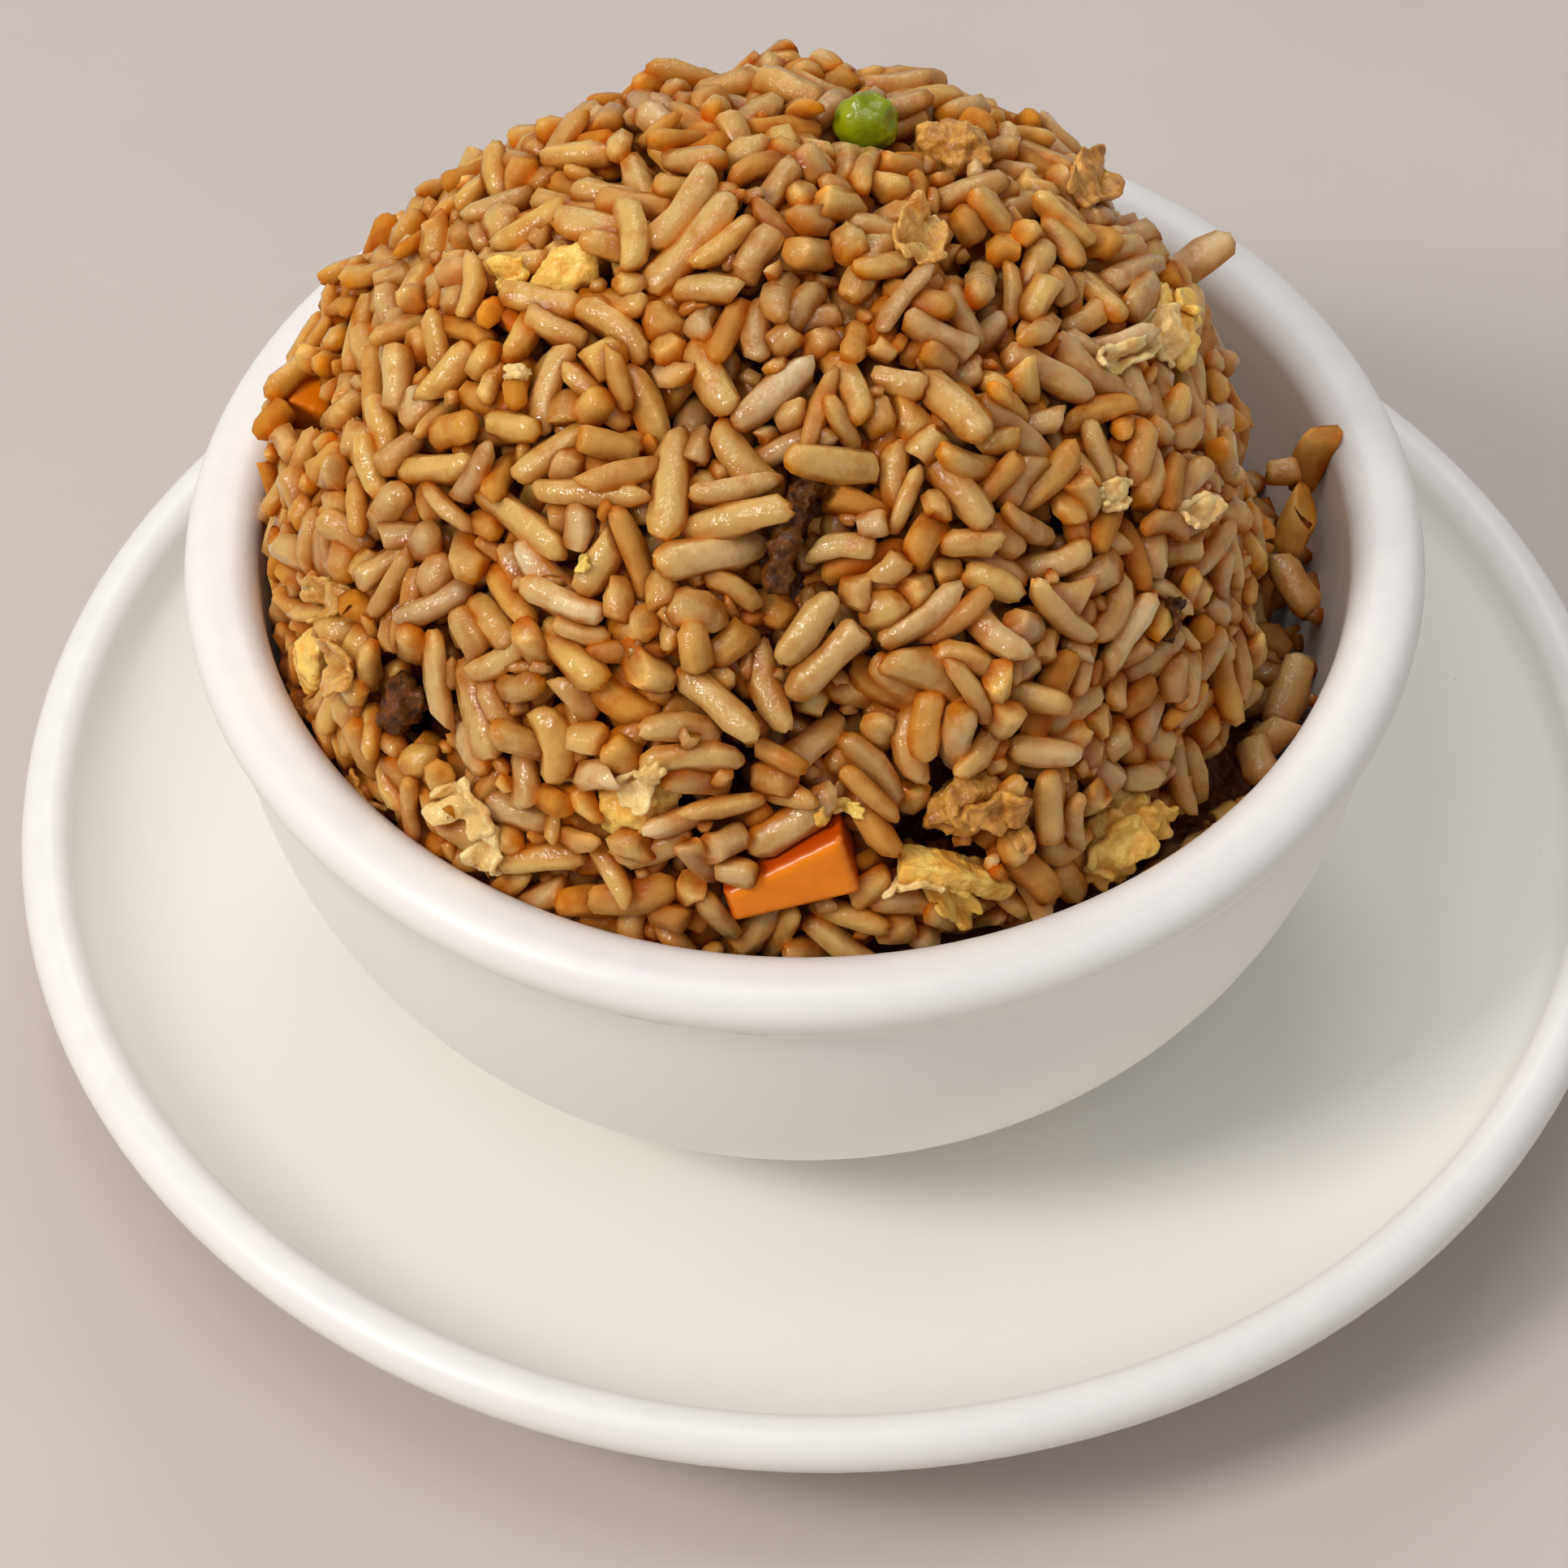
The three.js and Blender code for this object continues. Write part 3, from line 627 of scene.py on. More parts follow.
class Grain:
    """One grain: its kind and size and, once it lies, its middle and its directions."""

    def __init__(self, kind, length, width, bend, roll, tone, pale=0.0, crease=0.0, soak=0.0):
        self.kind, self.length, self.width = kind, length, width
        self.bend, self.roll = bend, roll
        self.tone, self.pale, self.crease, self.soak = tone, pale, crease, soak
        self.browned = 0.0

    def balls(self):
        """The grain as a row of balls: shares along it, shares sideways, and sizes."""
        count = 5 if self.length > 1.8 * self.width else 3 if self.length > 1.1 * self.width else 2
        along = np.linspace(-0.5, 0.5, count) * max(self.length - 0.75 * self.width, 0.3 * self.width)
        sideways = self.bend * (along / (0.5 * self.length)) ** 2
        sizes = np.full(count, 0.5 * self.width * BALL_SHARE)
        sizes[[0, -1]] *= 0.92
        return along, sideways, sizes

    def lay(self, middle, along, out):
        self.middle = middle
        self.along = along
        self.out = out
        self.side = np.cross(out, along)

    def laid_balls(self):
        """The same balls where the grain lies."""
        along, sideways, sizes = self.balls()
        return self.middle + np.outer(along, self.along) + np.outer(sideways, self.side), sizes


# ---------------- how grains come to rest

BALL_SHARE = 0.71  # grains are soft and sticky, and press into each other by this much
BALL_ROOM = 80000
CORE_BALLS = 1.6 * MM  # size of the balls that stand for the core
TOPPING_BALLS = 0.5 * MM
TOPPING_THINNING = 6  # one corner in so many becomes a ball
TURNS = 3  # a falling grain takes the lowest of this many directions
STEEPEST = 0.75  # slope of the steepest grain
FALL = 9 * MM  # a grain that finds nothing this far down is left out
WALL_PRESS = 0.15 * MM  # grains press so far against the bowl's wall


class Pile:
    """All that a new grain can rest on, kept as balls."""

    def __init__(self):
        self.centres = np.zeros((3, BALL_ROOM))
        self.sizes = np.zeros(BALL_ROOM)
        self.count = 0
        self.walls = 0  # how many of the first balls are the bowl's wall
        self.shown = []  # middle, way to the front and width of each piece that isn't to be buried

    def add(self, centres, sizes):
        end = self.count + len(centres)
        self.centres[:, self.count : end] = centres.T
        self.sizes[self.count : end] = sizes
        self.count = end

    def near(self, place, reach, first=0):
        """The balls in a cube round a place: their numbers, centres and sizes."""
        centres = self.centres[:, first : self.count]
        close = np.abs(centres[0] - place[0]) < reach
        close &= np.abs(centres[1] - place[1]) < reach
        close &= np.abs(centres[2] - place[2]) < reach
        numbers = np.nonzero(close)[0] + first
        return numbers, self.centres[:, numbers].T, self.sizes[numbers]


def rest(balls, grain, place, along, out):
    """Lays a grain down along -out above a place, on some balls.

    Returns how high the top of its middle and its highest end come to rest, or None.

    Each ball of the grain has a lowest height that the pile allows. Of the straight lines that
    clear all of those heights, the grain takes the one whose middle is lowest.
    """
    side = np.cross(out, along)
    shares, sideways, sizes = grain.balls()
    line = np.outer(shares, along) + np.outer(sideways, side)
    centres, others = balls
    gap = centres[None] - (place + line)[:, None]
    height = gap @ out
    across = (gap**2).sum(axis=2) - height**2
    touch = (sizes[:, None] + others[None]) ** 2 - across
    support = np.where(touch > 0, height + np.sqrt(np.maximum(touch, 0)), -FALL)
    need = support.max(axis=1)
    ends = np.triu_indices(len(shares), 1)
    slopes = (need[ends[1]] - need[ends[0]]) / (shares[ends[1]] - shares[ends[0]])
    slopes = np.clip(np.append(slopes, (-STEEPEST, 0.0, STEEPEST)), -STEEPEST, STEEPEST)
    heights = (need[None] - slopes[:, None] * shares[None]).max(axis=1)
    best = int(np.argmin(heights))
    if heights[best] <= -FALL * 0.95:
        return None
    slope = slopes[best]
    grain.lay(place + heights[best] * out, unit(along + slope * out), unit(out - slope * along))
    return heights[best] + sizes.max(), (heights[best] + slope * shares + sizes).max()


def in_the_bowl(centres, sizes):
    """True where no ball goes into the bowl's wall."""
    across = np.hypot(centres[:, 0] - BOWL_CENTRE.x, centres[:, 1] - BOWL_CENTRE.y)
    return bool((across + sizes < inside_radius(centres[:, 2]) + WALL_PRESS).all())


# ---------------- the heap of grains

SEED = 41
BED_SHARE = 0.17  # share of the grains that fall on the bed
PALE_SHARE = 0.09
CREASED_SHARE = 0.4

BARE_LAYER = 3 * MM  # the core is covered at least by this much
PROUD = 1.3 * MM  # how much higher than its middle a grain's end may stand
SHOWN_DEPTH = -0.5 * MM  # a grain that catches the eye lies no deeper than this
SHOWN_SHARE = 0.3  # this share of a piece's least side is kept free of grains to each side

# Passes of filling: grains dropped, how far they may stand over the outline, shares of kinds.
UNDER_LAYERS = (8000, -2.0 * MM, {"whole": 0.4, "slim": 0.1, "broken": 0.35, "stub": 0.15})
UPPER_LAYERS = [
    (7000, 0.2 * MM, {"whole": 0.45, "slim": 0.12, "broken": 0.28, "chunk": 0.15}),
    (11000, 0.3 * MM, {"whole": 0.2, "slim": 0.2, "broken": 0.35, "stub": 0.15, "chunk": 0.1}),
    (8000, 0.0 * MM, {"slim": 0.1, "broken": 0.35, "stub": 0.45, "crumb": 0.1}),
    (7000, -0.4 * MM, {"stub": 0.6, "crumb": 0.4}),
]
SOAKED_SHARE = 0.25  # share of the grains that have taken up more sauce
BROWNED_SHARE = 0.08  # share of the grains that the pan has browned

# Grains that catch the eye: kind, azimuth, elevation and turn in degrees, length, width and bend in
# millimetres, tone from golden to beige, and paleness if there is any.
SHOWN_GRAINS = [
    ("whole", -108, 56, 101, 9.6, 2.8, 0.1, 0.2, 0.15),
    ("slim", -87, 67, 37, 8.0, 2.5, 0.3, 0.9, 0.85),
    ("slim", -121, 52, 19, 9.2, 2.3, 0.2, 0.3),
    ("whole", -95, 53, 12, 8.8, 2.6, -0.2, 0.4),
    ("whole", -99, 49, 19, 8.7, 2.8, 0.2, 0.3, 0.5),
    ("whole", -131, 46, -2, 9.6, 2.7, -0.3, 0.2),
    ("whole", -149, 44, 42, 8.3, 2.6, 0.3, 0.1),
    ("whole", -132, 54, 72, 7.0, 2.6, 0.3, 0.2),
    ("broken", -77, 58, -12, 7.6, 2.5, 0.1, 0.3),
    ("whole", -50, 59, -100, 8.4, 2.8, 0.2, 0.5),
    ("whole", -56, 51, -84, 6.9, 2.8, 0.0, 0.5),
    ("broken", -38, 66, -62, 6.2, 2.6, 0.1, 0.9, 0.2),
    ("whole", -40, 53, -73, 7.5, 2.7, 0.2, 0.7),
    ("whole", -17, 49, -88, 8.8, 2.7, 0.4, 0.8),
    ("whole", -24, 54, -79, 7.6, 2.5, 0.2, 0.7),
    ("whole", -144, 81, 99, 10.0, 2.9, 0.4, 0.3, 0.1),
    ("whole", -178, 82, 146, 8.6, 2.8, 0.4, 0.3, 0.1),
    ("broken", -168, 45, -30, 5.6, 3.2, 0.0, 0.1, 0.35),
    ("whole", -143, 59, -62, 7.2, 2.7, 0.8, 0.2, 0.3),
    ("whole", -106, 68, -52, 6.8, 2.9, 0.5, 0.3),
    ("whole", -67, 26, -97, 6.4, 2.9, 0.1, 0.8, 0.3),
    ("whole", -99, 27, 6, 8.0, 2.6, -0.7, 0.3, 0.1),
    ("whole", -96, 33, -32, 8.2, 2.6, 0.2, 0.5),
    ("whole", -127, 24, -40, 8.4, 3.0, 0.1, 0.4),
    ("broken", -134, 25, -66, 6.9, 2.5, 0.2, 0.2, 0.35),
    ("whole", -84, 41, 46, 6.4, 2.7, 0.1, 0.5),
    ("broken", -82, 37, 42, 7.4, 2.6, 0.2, 0.6),
    ("slim", -68, 40, 20, 7.4, 2.4, 0.2, 0.6, 0.25),
    ("slim", -60, 36, -70, 6.4, 2.6, 0.7, 0.6, 0.25),
    ("whole", -12, 65, -6, 8.0, 2.7, 0.2, 0.6),
    ("broken", -31, 77, 8, 6.8, 2.7, 0.1, 0.5, 0.1),
    ("slim", 163, 67, 66, 9.2, 2.4, 0.3, 0.2),
    ("whole", -177, 73, 73, 8.0, 2.9, 0.3, 0.2, 0.1),
    ("broken", -88, 18, 30, 6.8, 2.7, 0.2, 0.5, 0.2),
    ("slim", -75, 6, -18, 7.0, 2.6, 0.1, 0.5),
    ("broken", -91, 4, 45, 5.6, 2.6, 0.1, 0.4, 0.1),
    ("whole", -82, 1, -40, 7.8, 2.7, 0.1, 0.4, 0.1),
    ("slim", -7, 47, -50, 7.2, 2.0, 0.2, 0.9, 0.7),
]


# Grains that lean on the bowl's wall or stand at its rim: kind, middle in millimetres, azimuth and
# elevation of the way they point, length, width, tone and paleness.
STRAY_GRAINS = [
    ("broken", (40.9, 9.4, 45.6), 15, 74, 6.6, 3.2, 0.3, 0.1),
    ("stub", (38.4, 8.4, 45.4), 0, 10, 2.6, 2.2, 0.4, 0.0),
    ("broken", (39.4, 4.4, 42.6), 60, 50, 4.8, 2.9, 0.0, 0.0),
    ("whole", (38.9, -0.8, 41.6), 118, 8, 6.2, 2.8, 0.5, 0.1),
    ("whole", (37.6, -12.2, 41.0), 66, 22, 6.6, 2.9, 0.8, 0.1),
    ("stub", (36.0, -16.8, 40.8), 40, 10, 3.4, 2.8, 0.8, 0.0),
    ("broken", (34.6, -19.8, 41.2), 100, 10, 4.0, 2.9, 0.8, 0.0),
    ("whole", (-42.8, 16.1, 49.6), 118, 68, 6.8, 3.1, 0.5, 0.9),
    ("broken", (-44.0, 3.2, 47.0), 196, 20, 4.8, 2.7, 0.0, 0.0),
    ("whole", (29.6, 12.7, 64.6), 29, 22, 8.6, 3.0, 0.6, 0.8),
]


def lay_stray_grains(pile, grains):
    """Sets the grains that lean on the bowl's wall in their places."""
    for kind, middle, azimuth, elevation, length, width, tone, pale in STRAY_GRAINS:
        grain = Grain(kind, length * MM, width * MM, 0.0, 0.3, tone, pale, 0.0, 0.2)
        along = np.array(direction(azimuth, elevation))
        out = np.array(direction(azimuth, elevation + 90))
        grain.lay(np.array(middle) * MM, along, out)
        keep(pile, grains, grain, np.array((0.0, 0.0, 1.0)), (middle[2] + 3) * MM)


def random_grain(draw, kinds):
    shares = np.cumsum(list(kinds.values()))
    kind = list(kinds)[int(np.searchsorted(shares / shares[-1], draw.random()))]
    shortest, longest, narrowest, widest, _, _, bend, _ = GRAIN_SIZES[kind]
    length = draw.uniform(shortest, longest) * MM
    width = draw.uniform(narrowest, widest) * MM
    pale = draw.uniform(0.3, 0.9) if draw.random() < PALE_SHARE else 0.0
    crease = 1.0 if draw.random() < CREASED_SHARE else 0.0
    soak = draw.uniform(0.3, 0.8) if draw.random() < SOAKED_SHARE else draw.uniform(0, 0.2)
    bend = draw.uniform(-bend, bend) * MM
    roll, tone = draw.normal(0, 0.5), draw.normal(0, 0.25)
    grain = Grain(kind, length, width, bend, roll, tone, pale, crease, soak)
    grain.browned = draw.uniform(0.1, 0.35) if draw.random() < BROWNED_SHARE else 0.0
    return grain


def random_spot(draw):
    """A place on the heap's outline and the direction out of it."""
    azimuth = draw.uniform(-180, 180)
    if draw.random() < BED_SHARE:
        return bed_point(azimuth, draw.uniform(0.0, 1.0)), Vector((0, 0, 1))
    low = math.sin(math.radians(dome_edge(azimuth)))
    return dome_point(azimuth, math.degrees(math.asin(draw.uniform(low, 1.0))))


def level_direction(out, turn):
    """A direction at right angles to out: level, turned about it by an angle in degrees."""
    level = np.cross((0.0, 0.0, 1.0), out)
    if np.linalg.norm(level) < 1e-3:
        level = np.array((1.0, 0.0, 0.0))
    level = unit(level)
    angle = math.radians(turn)
    return math.cos(angle) * level + math.sin(angle) * np.cross(out, level)


def side_tone(place):
    """The heap is golden on the left and greyer on the right, in broad patches."""
    return 0.42 + 0.3 * place.x / DOME_REACH.x + 0.5 * noise.noise(place / (14 * MM))


def keep(pile, grains, grain, up, outline):
    """Adds a laid grain to the heap, with the direction out of it and the outline's height."""
    grain.up = up
    grain.outline = outline
    grain.first_ball = pile.count
    grain.tone = min(1.0, max(0.0, grain.tone))
    pile.add(*grain.laid_balls())
    grains.append(grain)


def lowest_rest(pile, grain, turns, spot, out):
    """Lays a grain the way it comes to rest lowest, of some turns in degrees.

    Only what comes down from straight above can meet the bowl's wall.
    """
    first = 0 if out[2] > 0.99 else pile.walls
    _, *balls = pile.near(spot, grain.length / 2 + FALL, first)
    if len(balls[0]) == 0:
        return None
    found = []
    for turn in turns:
        tops = rest(balls, grain, np.array(spot), level_direction(out, turn), np.array(out))
        if tops is not None:
            found.append((tops, grain.middle, grain.along, grain.out))
    if not found:
        return None
    tops, *way = min(found, key=lambda one: one[0][0])
    grain.lay(*way)
    return tops


def drop_grains(pile, grains, draw, count, headroom, kinds):
    """Drops grains all over the heap and keeps those that stay under its outline."""
    for _ in range(count):
        grain = random_grain(draw, kinds)
        spot, out = random_spot(draw)
        tops = lowest_rest(pile, grain, draw.uniform(0, 360, TURNS), spot, out)
        limit = max(relief(spot), BARE_LAYER - LAYER)
        if tops is None or tops[0] > limit + headroom or tops[1] > limit + headroom + PROUD:
            continue
        if in_the_bowl(*grain.laid_balls()) and not buries(grain, pile):
            grain.tone += side_tone(spot)
            keep(pile, grains, grain, np.array(out), np.dot(spot, out) + limit)


def lay_shown_grains(pile, grains):
    """Lays the grains that catch the eye where the under layers carry them, near the outline."""
    for kind, azimuth, elevation, turn, length, width, bend, tone, *pale in SHOWN_GRAINS:
        spot, out = dome_point(azimuth, elevation)
        grain = Grain(kind, length * MM, width * MM, bend * MM, 0.2, tone, *pale, crease=0.6)
        middle_top, _ = lowest_rest(pile, grain, [turn], spot, out)
        grain.middle = grain.middle + np.array(out) * max(0.0, SHOWN_DEPTH - middle_top)
        while not in_the_bowl(*grain.laid_balls()):
            grain.middle = grain.middle - 0.2 * MM * np.array(direction(azimuth, 0))
        keep(pile, grains, grain, np.array(out), np.dot(spot, out))


def shown_piece(node):
    """Middle of a piece, the way from which it is seen, and how wide it shows."""
    low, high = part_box(node)
    middle = (low + high) / 2
    way = np.array((CAMERA_PLACE - middle).normalized())
    return np.array(middle), way, SHOWN_SHARE * min(high - low)


def buries(grain, pile):
    """True if a grain lies before a piece that shows."""
    centres, sizes = grain.laid_balls()
    for middle, way, width in pile.shown:
        gap = centres - middle
        nearer = gap @ way
        across = np.sqrt(np.maximum((gap**2).sum(axis=1) - nearer**2, 0))
        if ((nearer > 0) & (across < width + sizes)).any():
            return True
    return False


def skin_balls(piece, size):
    """A mesh as balls just under its skin."""
    corners = np.array([vertex.co for vertex in piece.data.vertices])
    normals = np.array([vertex.normal for vertex in piece.data.vertices])
    return corners - normals * size, np.full(len(corners), size)


def wall_balls():
    """The bowl's inner wall as balls, where loose grains lean on it."""
    size = 1.5 * MM
    heights = np.arange(BED_LEVEL - LAYER, BOWL_TOP - BOWL_LIP_ROUND, size)
    angles = np.arange(0, 2 * math.pi, size / BOWL_RADIUS)
    height, angle = (grid.ravel() for grid in np.meshgrid(heights, angles))
    reach = inside_radius(height) + size
    places = np.column_stack([reach * np.cos(angle), reach * np.sin(angle), height])
    return places + (BOWL_CENTRE.x, BOWL_CENTRE.y, 0), np.full(len(height), size)


# ---------------- grains as meshes

CONTACT_SHADE_REACH = 0.6 * MM  # sauce and painted shade gather this near to the next grain
DARK_DEPTH = 6.5 * MM  # at this depth under the outline the colour is painted fully dark, as shade


def shaped_grain(grain, corners, draw):
    """The corners of one grain along X in metres: knobbly, bent, with slanted ends."""
    _, _, _, _, low_slant, high_slant, _, uneven = GRAIN_SIZES[grain.kind]
    flat = draw.uniform(0.74, 1.0)
    local = corners * (grain.length, grain.width, grain.width * flat)
    angle = np.arctan2(corners[:, 2], corners[:, 1])
    phases = draw.uniform(0, 2 * math.pi, 6)
    ripple = local[:, 0] / (1.6 * MM)
    swell = 0.1 * np.sin(2 * angle + phases[0]) + 0.06 * np.sin(3 * angle + phases[1] + 0.5 * ripple)
    swell += 0.1 * np.sin(ripple + phases[2] + angle)
    swell += 0.08 * np.sin(2.1 * ripple + phases[3] - 2 * angle)
    swell += draw.normal(0, uneven, len(local))
    local[:, 1:] *= 1 + swell[:, None]
    slants = draw.normal(0, 1, 4) * (low_slant, low_slant, high_slant, high_slant)
    low_end = np.clip(-corners[:, 0] * 8 - 3, 0, 1)
    high_end = np.clip(corners[:, 0] * 8 - 3, 0, 1)
    local[:, 0] += low_end * (slants[0] * local[:, 1] + slants[1] * local[:, 2])
    local[:, 0] += high_end * (slants[2] * local[:, 1] + slants[3] * local[:, 2])
    local[:, 0] += draw.normal(0, 0.1 * MM, len(local)) * (low_end + high_end)
    local[:, 1] += grain.bend * (local[:, 0] / (0.5 * grain.length)) ** 2
    cosine, sine = math.cos(grain.roll), math.sin(grain.roll)
    local[:, 1:] = local[:, 1:] @ np.array([[cosine, sine], [-sine, cosine]])
    return local


def contact_shade_and_sauce_between(pile, grain, places):
    """For each corner, how near it lies to the next grain, from 0 to 1: soy gathers there, and shade is
    painted there.
    """
    numbers, centres, sizes = pile.near(grain.middle, grain.length / 2 + 3 * MM)
    own = np.isin(numbers, np.arange(grain.first_ball, grain.first_ball + len(grain.balls()[0])))
    centres, sizes = centres[~own], sizes[~own] / BALL_SHARE
    gaps = np.linalg.norm(places[:, None] - centres[None], axis=2) - sizes[None]
    return np.clip(1 - gaps.min(axis=1, initial=1.0) / CONTACT_SHADE_REACH, 0, 1)


def joined_grains(kind, grains, pile, draw):
    """All grains of a kind as one mesh, with attributes for each grain's own pattern, soy and painted shade.
    """
    corners, faces = grain_shape(kind)
    count = len(corners)
    rows = []
    groove = np.clip(1 - np.abs(corners[:, 1] - 0.1) / 0.2, 0, 1)
    groove *= (corners[:, 2] > 0) & (np.abs(corners[:, 0]) < 0.45)
    for grain in grains:
        local = shaped_grain(grain, corners, draw)
        places = grain.middle + local @ np.array([grain.along, grain.side, grain.out])
        round_way = unit_rows(local[:, 1:] - (grain.bend, 0) * (corners[:, :1] * 2) ** 2)
        crest = (round_way @ np.array([grain.side, grain.out])) @ grain.up
        # Painted shade: corners on the lower flanks and at the low end are darker; the grain's own soak is
        # mixed into the same share.
        lower_flank_shade = 0.75 * np.clip((0.8 - crest) / 0.9, 0, 1) + 0.25 * (corners[:, 0] < -0.42)
        flank_shade_and_soak = 1 - (1 - np.clip(lower_flank_shade, 0, 1)) * (1 - grain.soak)
        # Painted shade: darker the deeper a corner lies under the outline; browned grains add their own
        # darkness.
        depth = np.clip((grain.outline - places @ grain.up) / DARK_DEPTH, 0, 1)
        row = {
            "corners": places,
            "place": local + draw.uniform(-0.5, 0.5, 3),
            "tone": np.full(count, grain.tone),
            "pale": grain.pale * np.clip(0.7 + corners[:, 0], 0, 1),
            "crease": groove * grain.crease,
            "flank_shade_and_soak": flank_shade_and_soak,
            # Partly sauce, partly painted shade where grains touch.
            "contact_shade_and_sauce": contact_shade_and_sauce_between(pile, grain, places),
            "depth": np.clip(depth**1.5 + grain.browned, 0, 1),
        }
        rows.append(row)
    joined = {name: np.concatenate([row[name] for row in rows]) for name in row}
    all_faces = [tuple(c + i * count for c in face) for i in range(len(grains)) for face in faces]
    mesh = bpy.data.meshes.new(kind + "_grains")
    mesh.from_pydata(joined.pop("corners").tolist(), [], all_faces)
    mesh.update()
    for name, values in joined.items():
        sort, field = ("FLOAT_VECTOR", "vector") if name == "place" else ("FLOAT", "value")
        attribute = mesh.attributes.new("grain_" + name, sort, "POINT")
        attribute.data.foreach_set(field, values.astype(np.float32).ravel())
    mesh.shade_smooth()
    return new_piece(kind + "_grains", mesh)


# ---------------- toppings

TOPPING_GRID = 0.28 * MM
CLEAN_CUT = (0.1, -0.93, 0.34)  # the way that the carrot's clean front faces
FLAKE_GRID = (20, 12)
FLAKE_REACH = 9 * MM  # a flake rests on balls within this distance
FLAKE_SAG = 0.9 * MM  # how far it sags and rises between them
FLAKE_RISE = 1.2 * MM
RAGGED = 0.5  # how ragged a flake's edge is, as a share of its size
NARROWED = 0.8  # how far a flake narrows towards its ends
FLAKE_WAVE = 0.25 * MM
FLAKE_CRUMPLE = (0.9 * MM, 0.45 * MM)  # size and height of its crumples


def refined(name, node, grid):
    """A finer copy of a CAD node's solid, with even faces of about one grid step."""
    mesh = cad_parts[node].data.copy()
    mesh.materials.clear()
    piece = new_piece(name, mesh)
    deselect()
    piece.select_set(True)
    bpy.context.view_layer.objects.active = piece
    bpy.ops.object.mode_set(mode="EDIT")
    bpy.ops.mesh.select_all(action="SELECT")
    bpy.ops.mesh.remove_doubles(threshold=0.001 * MM)
    bpy.ops.object.mode_set(mode="OBJECT")
    apply_modifier(piece, "REMESH", mode="VOXEL", voxel_size=grid, use_smooth_shade=True)
    return piece


def crumple(piece, size, height):
    """Moves a piece's surface in and out by noise with lumps of a size."""
    texture = bpy.data.textures.new(piece.name + "_relief", "CLOUDS")
    texture.noise_scale = size
    apply_modifier(piece, "DISPLACE", texture=texture, strength=height, mid_level=0.5)


def mark_shade_and_stain(piece, on_top):
    """Marks where a piece is darker: soy on all but its clean cut front if on_top, else painted shade where
    it lies deep in the heap.
    """
    places = np.array([vertex.co for vertex in piece.data.vertices])
    normals = np.array([vertex.normal for vertex in piece.data.vertices])
    if on_top:
        front = normals @ np.array(CLEAN_CUT)
        share = np.clip((0.85 - front) / 0.4, 0, 1)
    else:
        middle = np.array(DOME_CENTRE)
        depth = 1 - np.linalg.norm((places - middle) / np.array(DOME_REACH), axis=1)
        share = np.clip((depth * DOME_REACH.x - 1.5 * MM) / (4 * MM), 0, 1)
    attribute = piece.data.attributes.new("shade_and_stain", "FLOAT", "POINT")
    attribute.data.foreach_set("value", share.astype(np.float32))


def draped_heights(pile, places, out):
    """How high above some places a thin sheet comes to lie on the pile."""
    _, centres, sizes = pile.near(places.mean(axis=0), FLAKE_REACH, pile.walls)
    gap = centres[None] - places[:, None]
    height = gap @ out
    touch = (sizes[None] / BALL_SHARE) ** 2 - ((gap**2).sum(axis=2) - height**2)
    tops = np.where(touch > 0, height + np.sqrt(np.maximum(touch, 0)), -FALL).max(axis=1)
    return np.clip(tops, np.median(tops) - FLAKE_SAG, np.median(tops) + FLAKE_RISE)


def waver(*place):
    """Smooth noise at three numbers."""
    return noise.noise(Vector(place))


def flake(name, pile, seed, azimuth, elevation, turn, length, width, thickness, curl, stand):
    """A thin, ragged, crumpled sheet over the grains, whose sides curl up and whose end stands."""
    deselect()
    columns, rows = FLAKE_GRID
    bpy.ops.mesh.primitive_grid_add(x_subdivisions=columns, y_subdivisions=rows, size=1)
    piece = bpy.context.object
    piece.name = name
    spot, out = (np.array(vector) for vector in dome_point(azimuth, elevation))
    along = level_direction(out, turn)
    side = np.cross(out, along)
    shares = np.array([vertex.co for vertex in piece.data.vertices])[:, :2]
    ragged = np.array([(waver(3.4 * v, seed, 0.5), waver(2.6 * u, seed, 9.5)) for u, v in shares])
    shares = shares * (1 + RAGGED * ragged) * (1 - NARROWED * shares[:, ::-1] ** 2)
    places = spot + np.outer(shares[:, 0] * length * MM, along)
    places += np.outer(shares[:, 1] * width * MM, side)
    heights = draped_heights(pile, places, out) + 0.5 * thickness * MM
    heights += curl * MM * (2 * shares[:, 1]) ** 2 + stand * MM * np.clip(2 * shares[:, 0], 0, 2) ** 2
    heights += FLAKE_WAVE * np.array([waver(5 * u, 5 * v, seed) for u, v in shares])
    places += np.outer(heights, out)
    for vertex, place in zip(piece.data.vertices, places):
        vertex.co = place
    apply_modifier(piece, "SMOOTH", factor=0.5, iterations=2)
    apply_modifier(piece, "SOLIDIFY", thickness=thickness * MM, offset=0.0)
    apply_modifier(piece, "SUBSURF", levels=1)
    crumple(piece, *FLAKE_CRUMPLE)
    piece.data.shade_smooth()
    return piece


# ---------------- the scene

bpy.context.scene.view_settings.view_transform = "Standard"
add_camera()
for softbox in SOFTBOXES:
    add_softbox(*softbox)
light_the_room()

deselect()
bpy.ops.mesh.primitive_plane_add(size=3)
floor = bpy.context.object
floor.name = "table_top"
floor.data.materials.append(table_top())

plate = turned("turned_plate", (0, 0), plate_profile(), AROUND)
hand_over(plate, glazed_stoneware("plate_glaze", PLATE_TOP, PLATE_ROLL), "ware", "plate")
bowl = turned("turned_bowl", (BOWL_CENTRE.x, BOWL_CENTRE.y), bowl_profile(), AROUND)
# Height of the grey line of painted shade under the bowl's roll.
line = BOWL_TOP - 5.6 * MM
hand_over(bowl, glazed_stoneware("bowl_glaze", BOWL_TOP, BOWL_ROLL, line), "ware", "bowl")

core = rice_core()
hand_over(core, packed_core(), "rice", "rice_heap")

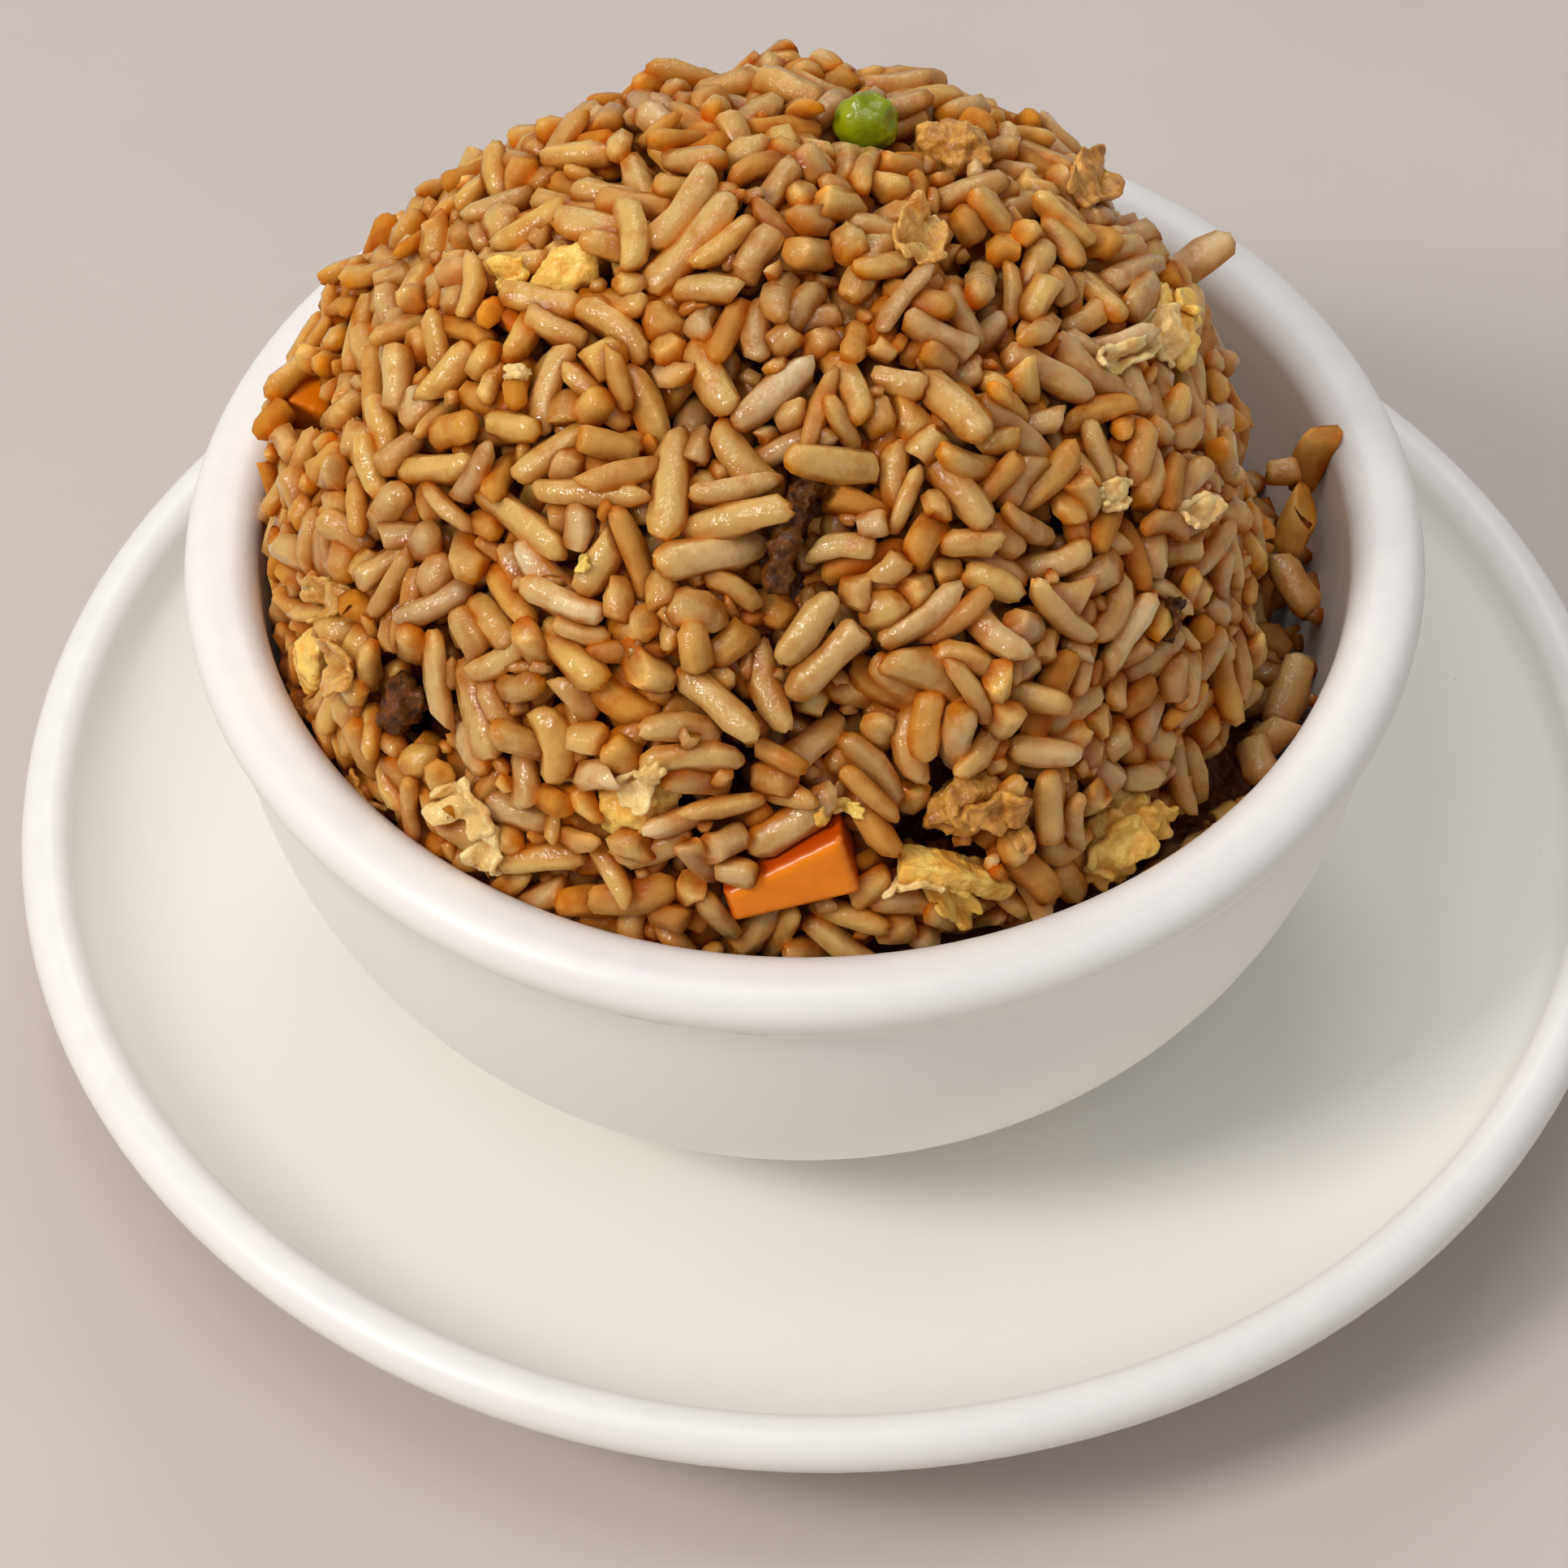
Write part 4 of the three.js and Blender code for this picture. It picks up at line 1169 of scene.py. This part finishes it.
CARROT = food("boiled_carrot", ("F08600", "E67A00", "B84402"), 3 * MM, 0.35, 0.15, 0.25, 0.02)
PEA = food("boiled_green_pea", ("96A008", "727E06", "586404"), 2.6 * MM, 0.3, 0.5, 0.4, 0.05)
EGG = food("scrambled_egg", ("FFD26E", "ECA83C", "B87020"), 2.0 * MM, 0.4, 0.6)
EGG_WHITE = food("cooked_egg_white", ("F8D490", "E6B264", "B47C34"), 1.6 * MM, 0.3, 0.7)
ONION = food("fried_onion", ("E2B05C", "C07C28", "96540E"), 1.8 * MM, 0.3, 0.8)
CHICKEN = food("browned_chicken", ("E0A44A", "9C5A12", "6E3A08"), 1.4 * MM, 0.45, 0.5)
BROWNED = food("browned_crust", ("74400E", "2A1404", "2A1404"), 1.0 * MM, 0.4, 0.0, 0.15)

# What each CAD piece is made of, its slot, and how high and wide its crumples are in millimetres.
TOPPINGS = {
    "carrot_front": (CARROT, "carrot", 0.0, 1.6),
    "carrot_left": (CARROT, "carrot", 0.0, 1.6),
    "green_pea": (PEA, "pea", 1.3, 3.2),
    "egg_front": (EGG, "egg", 0.7, 1.6),
    "egg_right": (EGG, "egg", 1.9, 1.6),
    "egg_back": (EGG, "egg", 1.6, 1.6),
    "egg_middle": (EGG, "egg", 1.5, 1.4),
    "egg_top": (EGG, "egg", 1.3, 1.4),
    "egg_left": (EGG, "egg", 1.3, 1.4),
    "chicken_back": (CHICKEN, "chicken", 1.8, 1.2),
    "chicken_front": (CHICKEN, "chicken", 1.8, 1.2),
    "browned_left": (BROWNED, "browned", 1.6, 1.2),
    "browned_sliver": (BROWNED, "browned", 1.6, 1.2),
}

# Thin ragged flakes that lie on the grains: the CAD piece they belong to, what they are made of,
# azimuth, elevation and turn in degrees, length, width and thickness, and how far the sides curl up
# and the far end stands up, in millimetres.
FLAKES = [
    ("egg_back", EGG_WHITE, "egg", 0, 41, 20, 4.6, 3.2, 0.5, 0.3, 0.6),
    ("egg_back", EGG_WHITE, "egg", -9, 46, -40, 7.0, 2.2, 0.4, 0.5, 0.4),
    ("egg_back", EGG, "egg", 8, 37, -54, 5.0, 3.2, 0.6, 0.2, 0.8),
    ("chicken_back", CHICKEN, "chicken", 28, 46, -57, 6.5, 4.0, 0.5, 0.6, 1.6),
    ("chicken_back", ONION, "chicken", -8, 73, -3, 7.6, 4.6, 0.35, 1.4, 0.8),
    ("chicken_back", EGG_WHITE, "egg", 4, 72, -43, 2.6, 2.0, 0.4, 0.2, 0.6),
    ("egg_front", EGG, "egg", -70, 6, -55, 5.4, 2.4, 0.5, 0.5, 0.2),
    ("egg_front", EGG_WHITE, "egg", -75, 10, 10, 4.0, 2.6, 0.5, 0.6, 0.5),
    ("chicken_front", CHICKEN, "chicken", -65, 17, -10, 4.8, 3.0, 0.5, 0.8, 0.6),
    ("chicken_front", CHICKEN, "chicken", -62, 14, 60, 4.2, 1.4, 0.4, 0.2, 0.8),
    ("egg_right", EGG, "egg", -50, 3, 30, 5.6, 3.8, 0.7, 0.9, 0.8),
    ("egg_right", EGG, "egg", -44, 2, -30, 5.2, 3.2, 0.6, 0.4, 0.6),
    ("egg_middle", EGG_WHITE, "egg", -104, 24, 60, 5.0, 3.0, 0.5, 0.6, 0.4),
    ("egg_middle", EGG_WHITE, "egg", -125, 13, 18, 6.2, 4.4, 0.6, 0.8, 0.6),
    ("egg_middle", EGG_WHITE, "egg", -121, 9, 70, 4.6, 3.0, 0.5, 0.6, 0.2),
    ("egg_middle", EGG, "egg", -82, 20, 0, 3.8, 1.6, 0.4, 0.2, 0.3),
    ("egg_middle", EGG, "egg", -118, 45, 30, 1.6, 1.4, 0.4, 0.1, 0.2),
    ("egg_top", EGG, "egg", -173, 62, 66, 3.2, 2.2, 0.5, 0.3, 0.3),
    ("egg_top", EGG_WHITE, "egg", -148, 58, 45, 2.0, 1.7, 0.5, 0.1, 0.2),
    ("egg_left", ONION, "egg", -155, 21, 46, 7.6, 4.0, 0.35, 0.8, 0.8),
    ("egg_left", ONION, "egg", -147, 18, 16, 6.4, 3.6, 0.35, 0.8, 0.5),
    ("egg_left", ONION, "egg", -141, 2, 15, 4.8, 3.2, 0.35, 0.6, 0.4),
    ("egg_back", EGG_WHITE, "egg", -32, 40, -32, 3.6, 2.2, 0.5, 0.3, 0.4),
    ("egg_back", EGG_WHITE, "egg", -22, 30, -31, 4.2, 2.2, 0.5, 0.3, 0.4),
    ("browned_left", BROWNED, "browned", -33, 23, 40, 3.2, 2.4, 0.6, 0.3, 0.4),
]

pile = Pile()
pile.add(*wall_balls())
pile.walls = pile.count
pile.add(*skin_balls(core, CORE_BALLS))
for node, (material, slot, height, lump) in TOPPINGS.items():
    piece = refined(node + "_piece", node, TOPPING_GRID)
    apply_modifier(piece, "SMOOTH", factor=0.5, iterations=3)
    if height:
        crumple(piece, lump * MM, height * MM)
    hand_over(piece, material, slot, node)
    mark_shade_and_stain(piece, node == "carrot_front")
    centres, sizes = skin_balls(piece, TOPPING_BALLS)
    pile.add(centres[::TOPPING_THINNING], sizes[::TOPPING_THINNING])
    pile.shown.append(shown_piece(node))

draw = np.random.default_rng(SEED)
grains = []
lay_stray_grains(pile, grains)
drop_grains(pile, grains, draw, *UNDER_LAYERS)
lay_shown_grains(pile, grains)
for layer in UPPER_LAYERS:
    drop_grains(pile, grains, draw, *layer)
rice = cooked_rice()
for kind in GRAIN_OUTLINES:
    chosen = [grain for grain in grains if grain.kind == kind]
    hand_over(joined_grains(kind, chosen, pile, draw), rice, "rice", "rice_heap")
for number, (node, material, slot, *form) in enumerate(FLAKES):
    piece = flake(f"{node}_flake_{number}", pile, number, *form)
    hand_over(piece, material, slot, node)
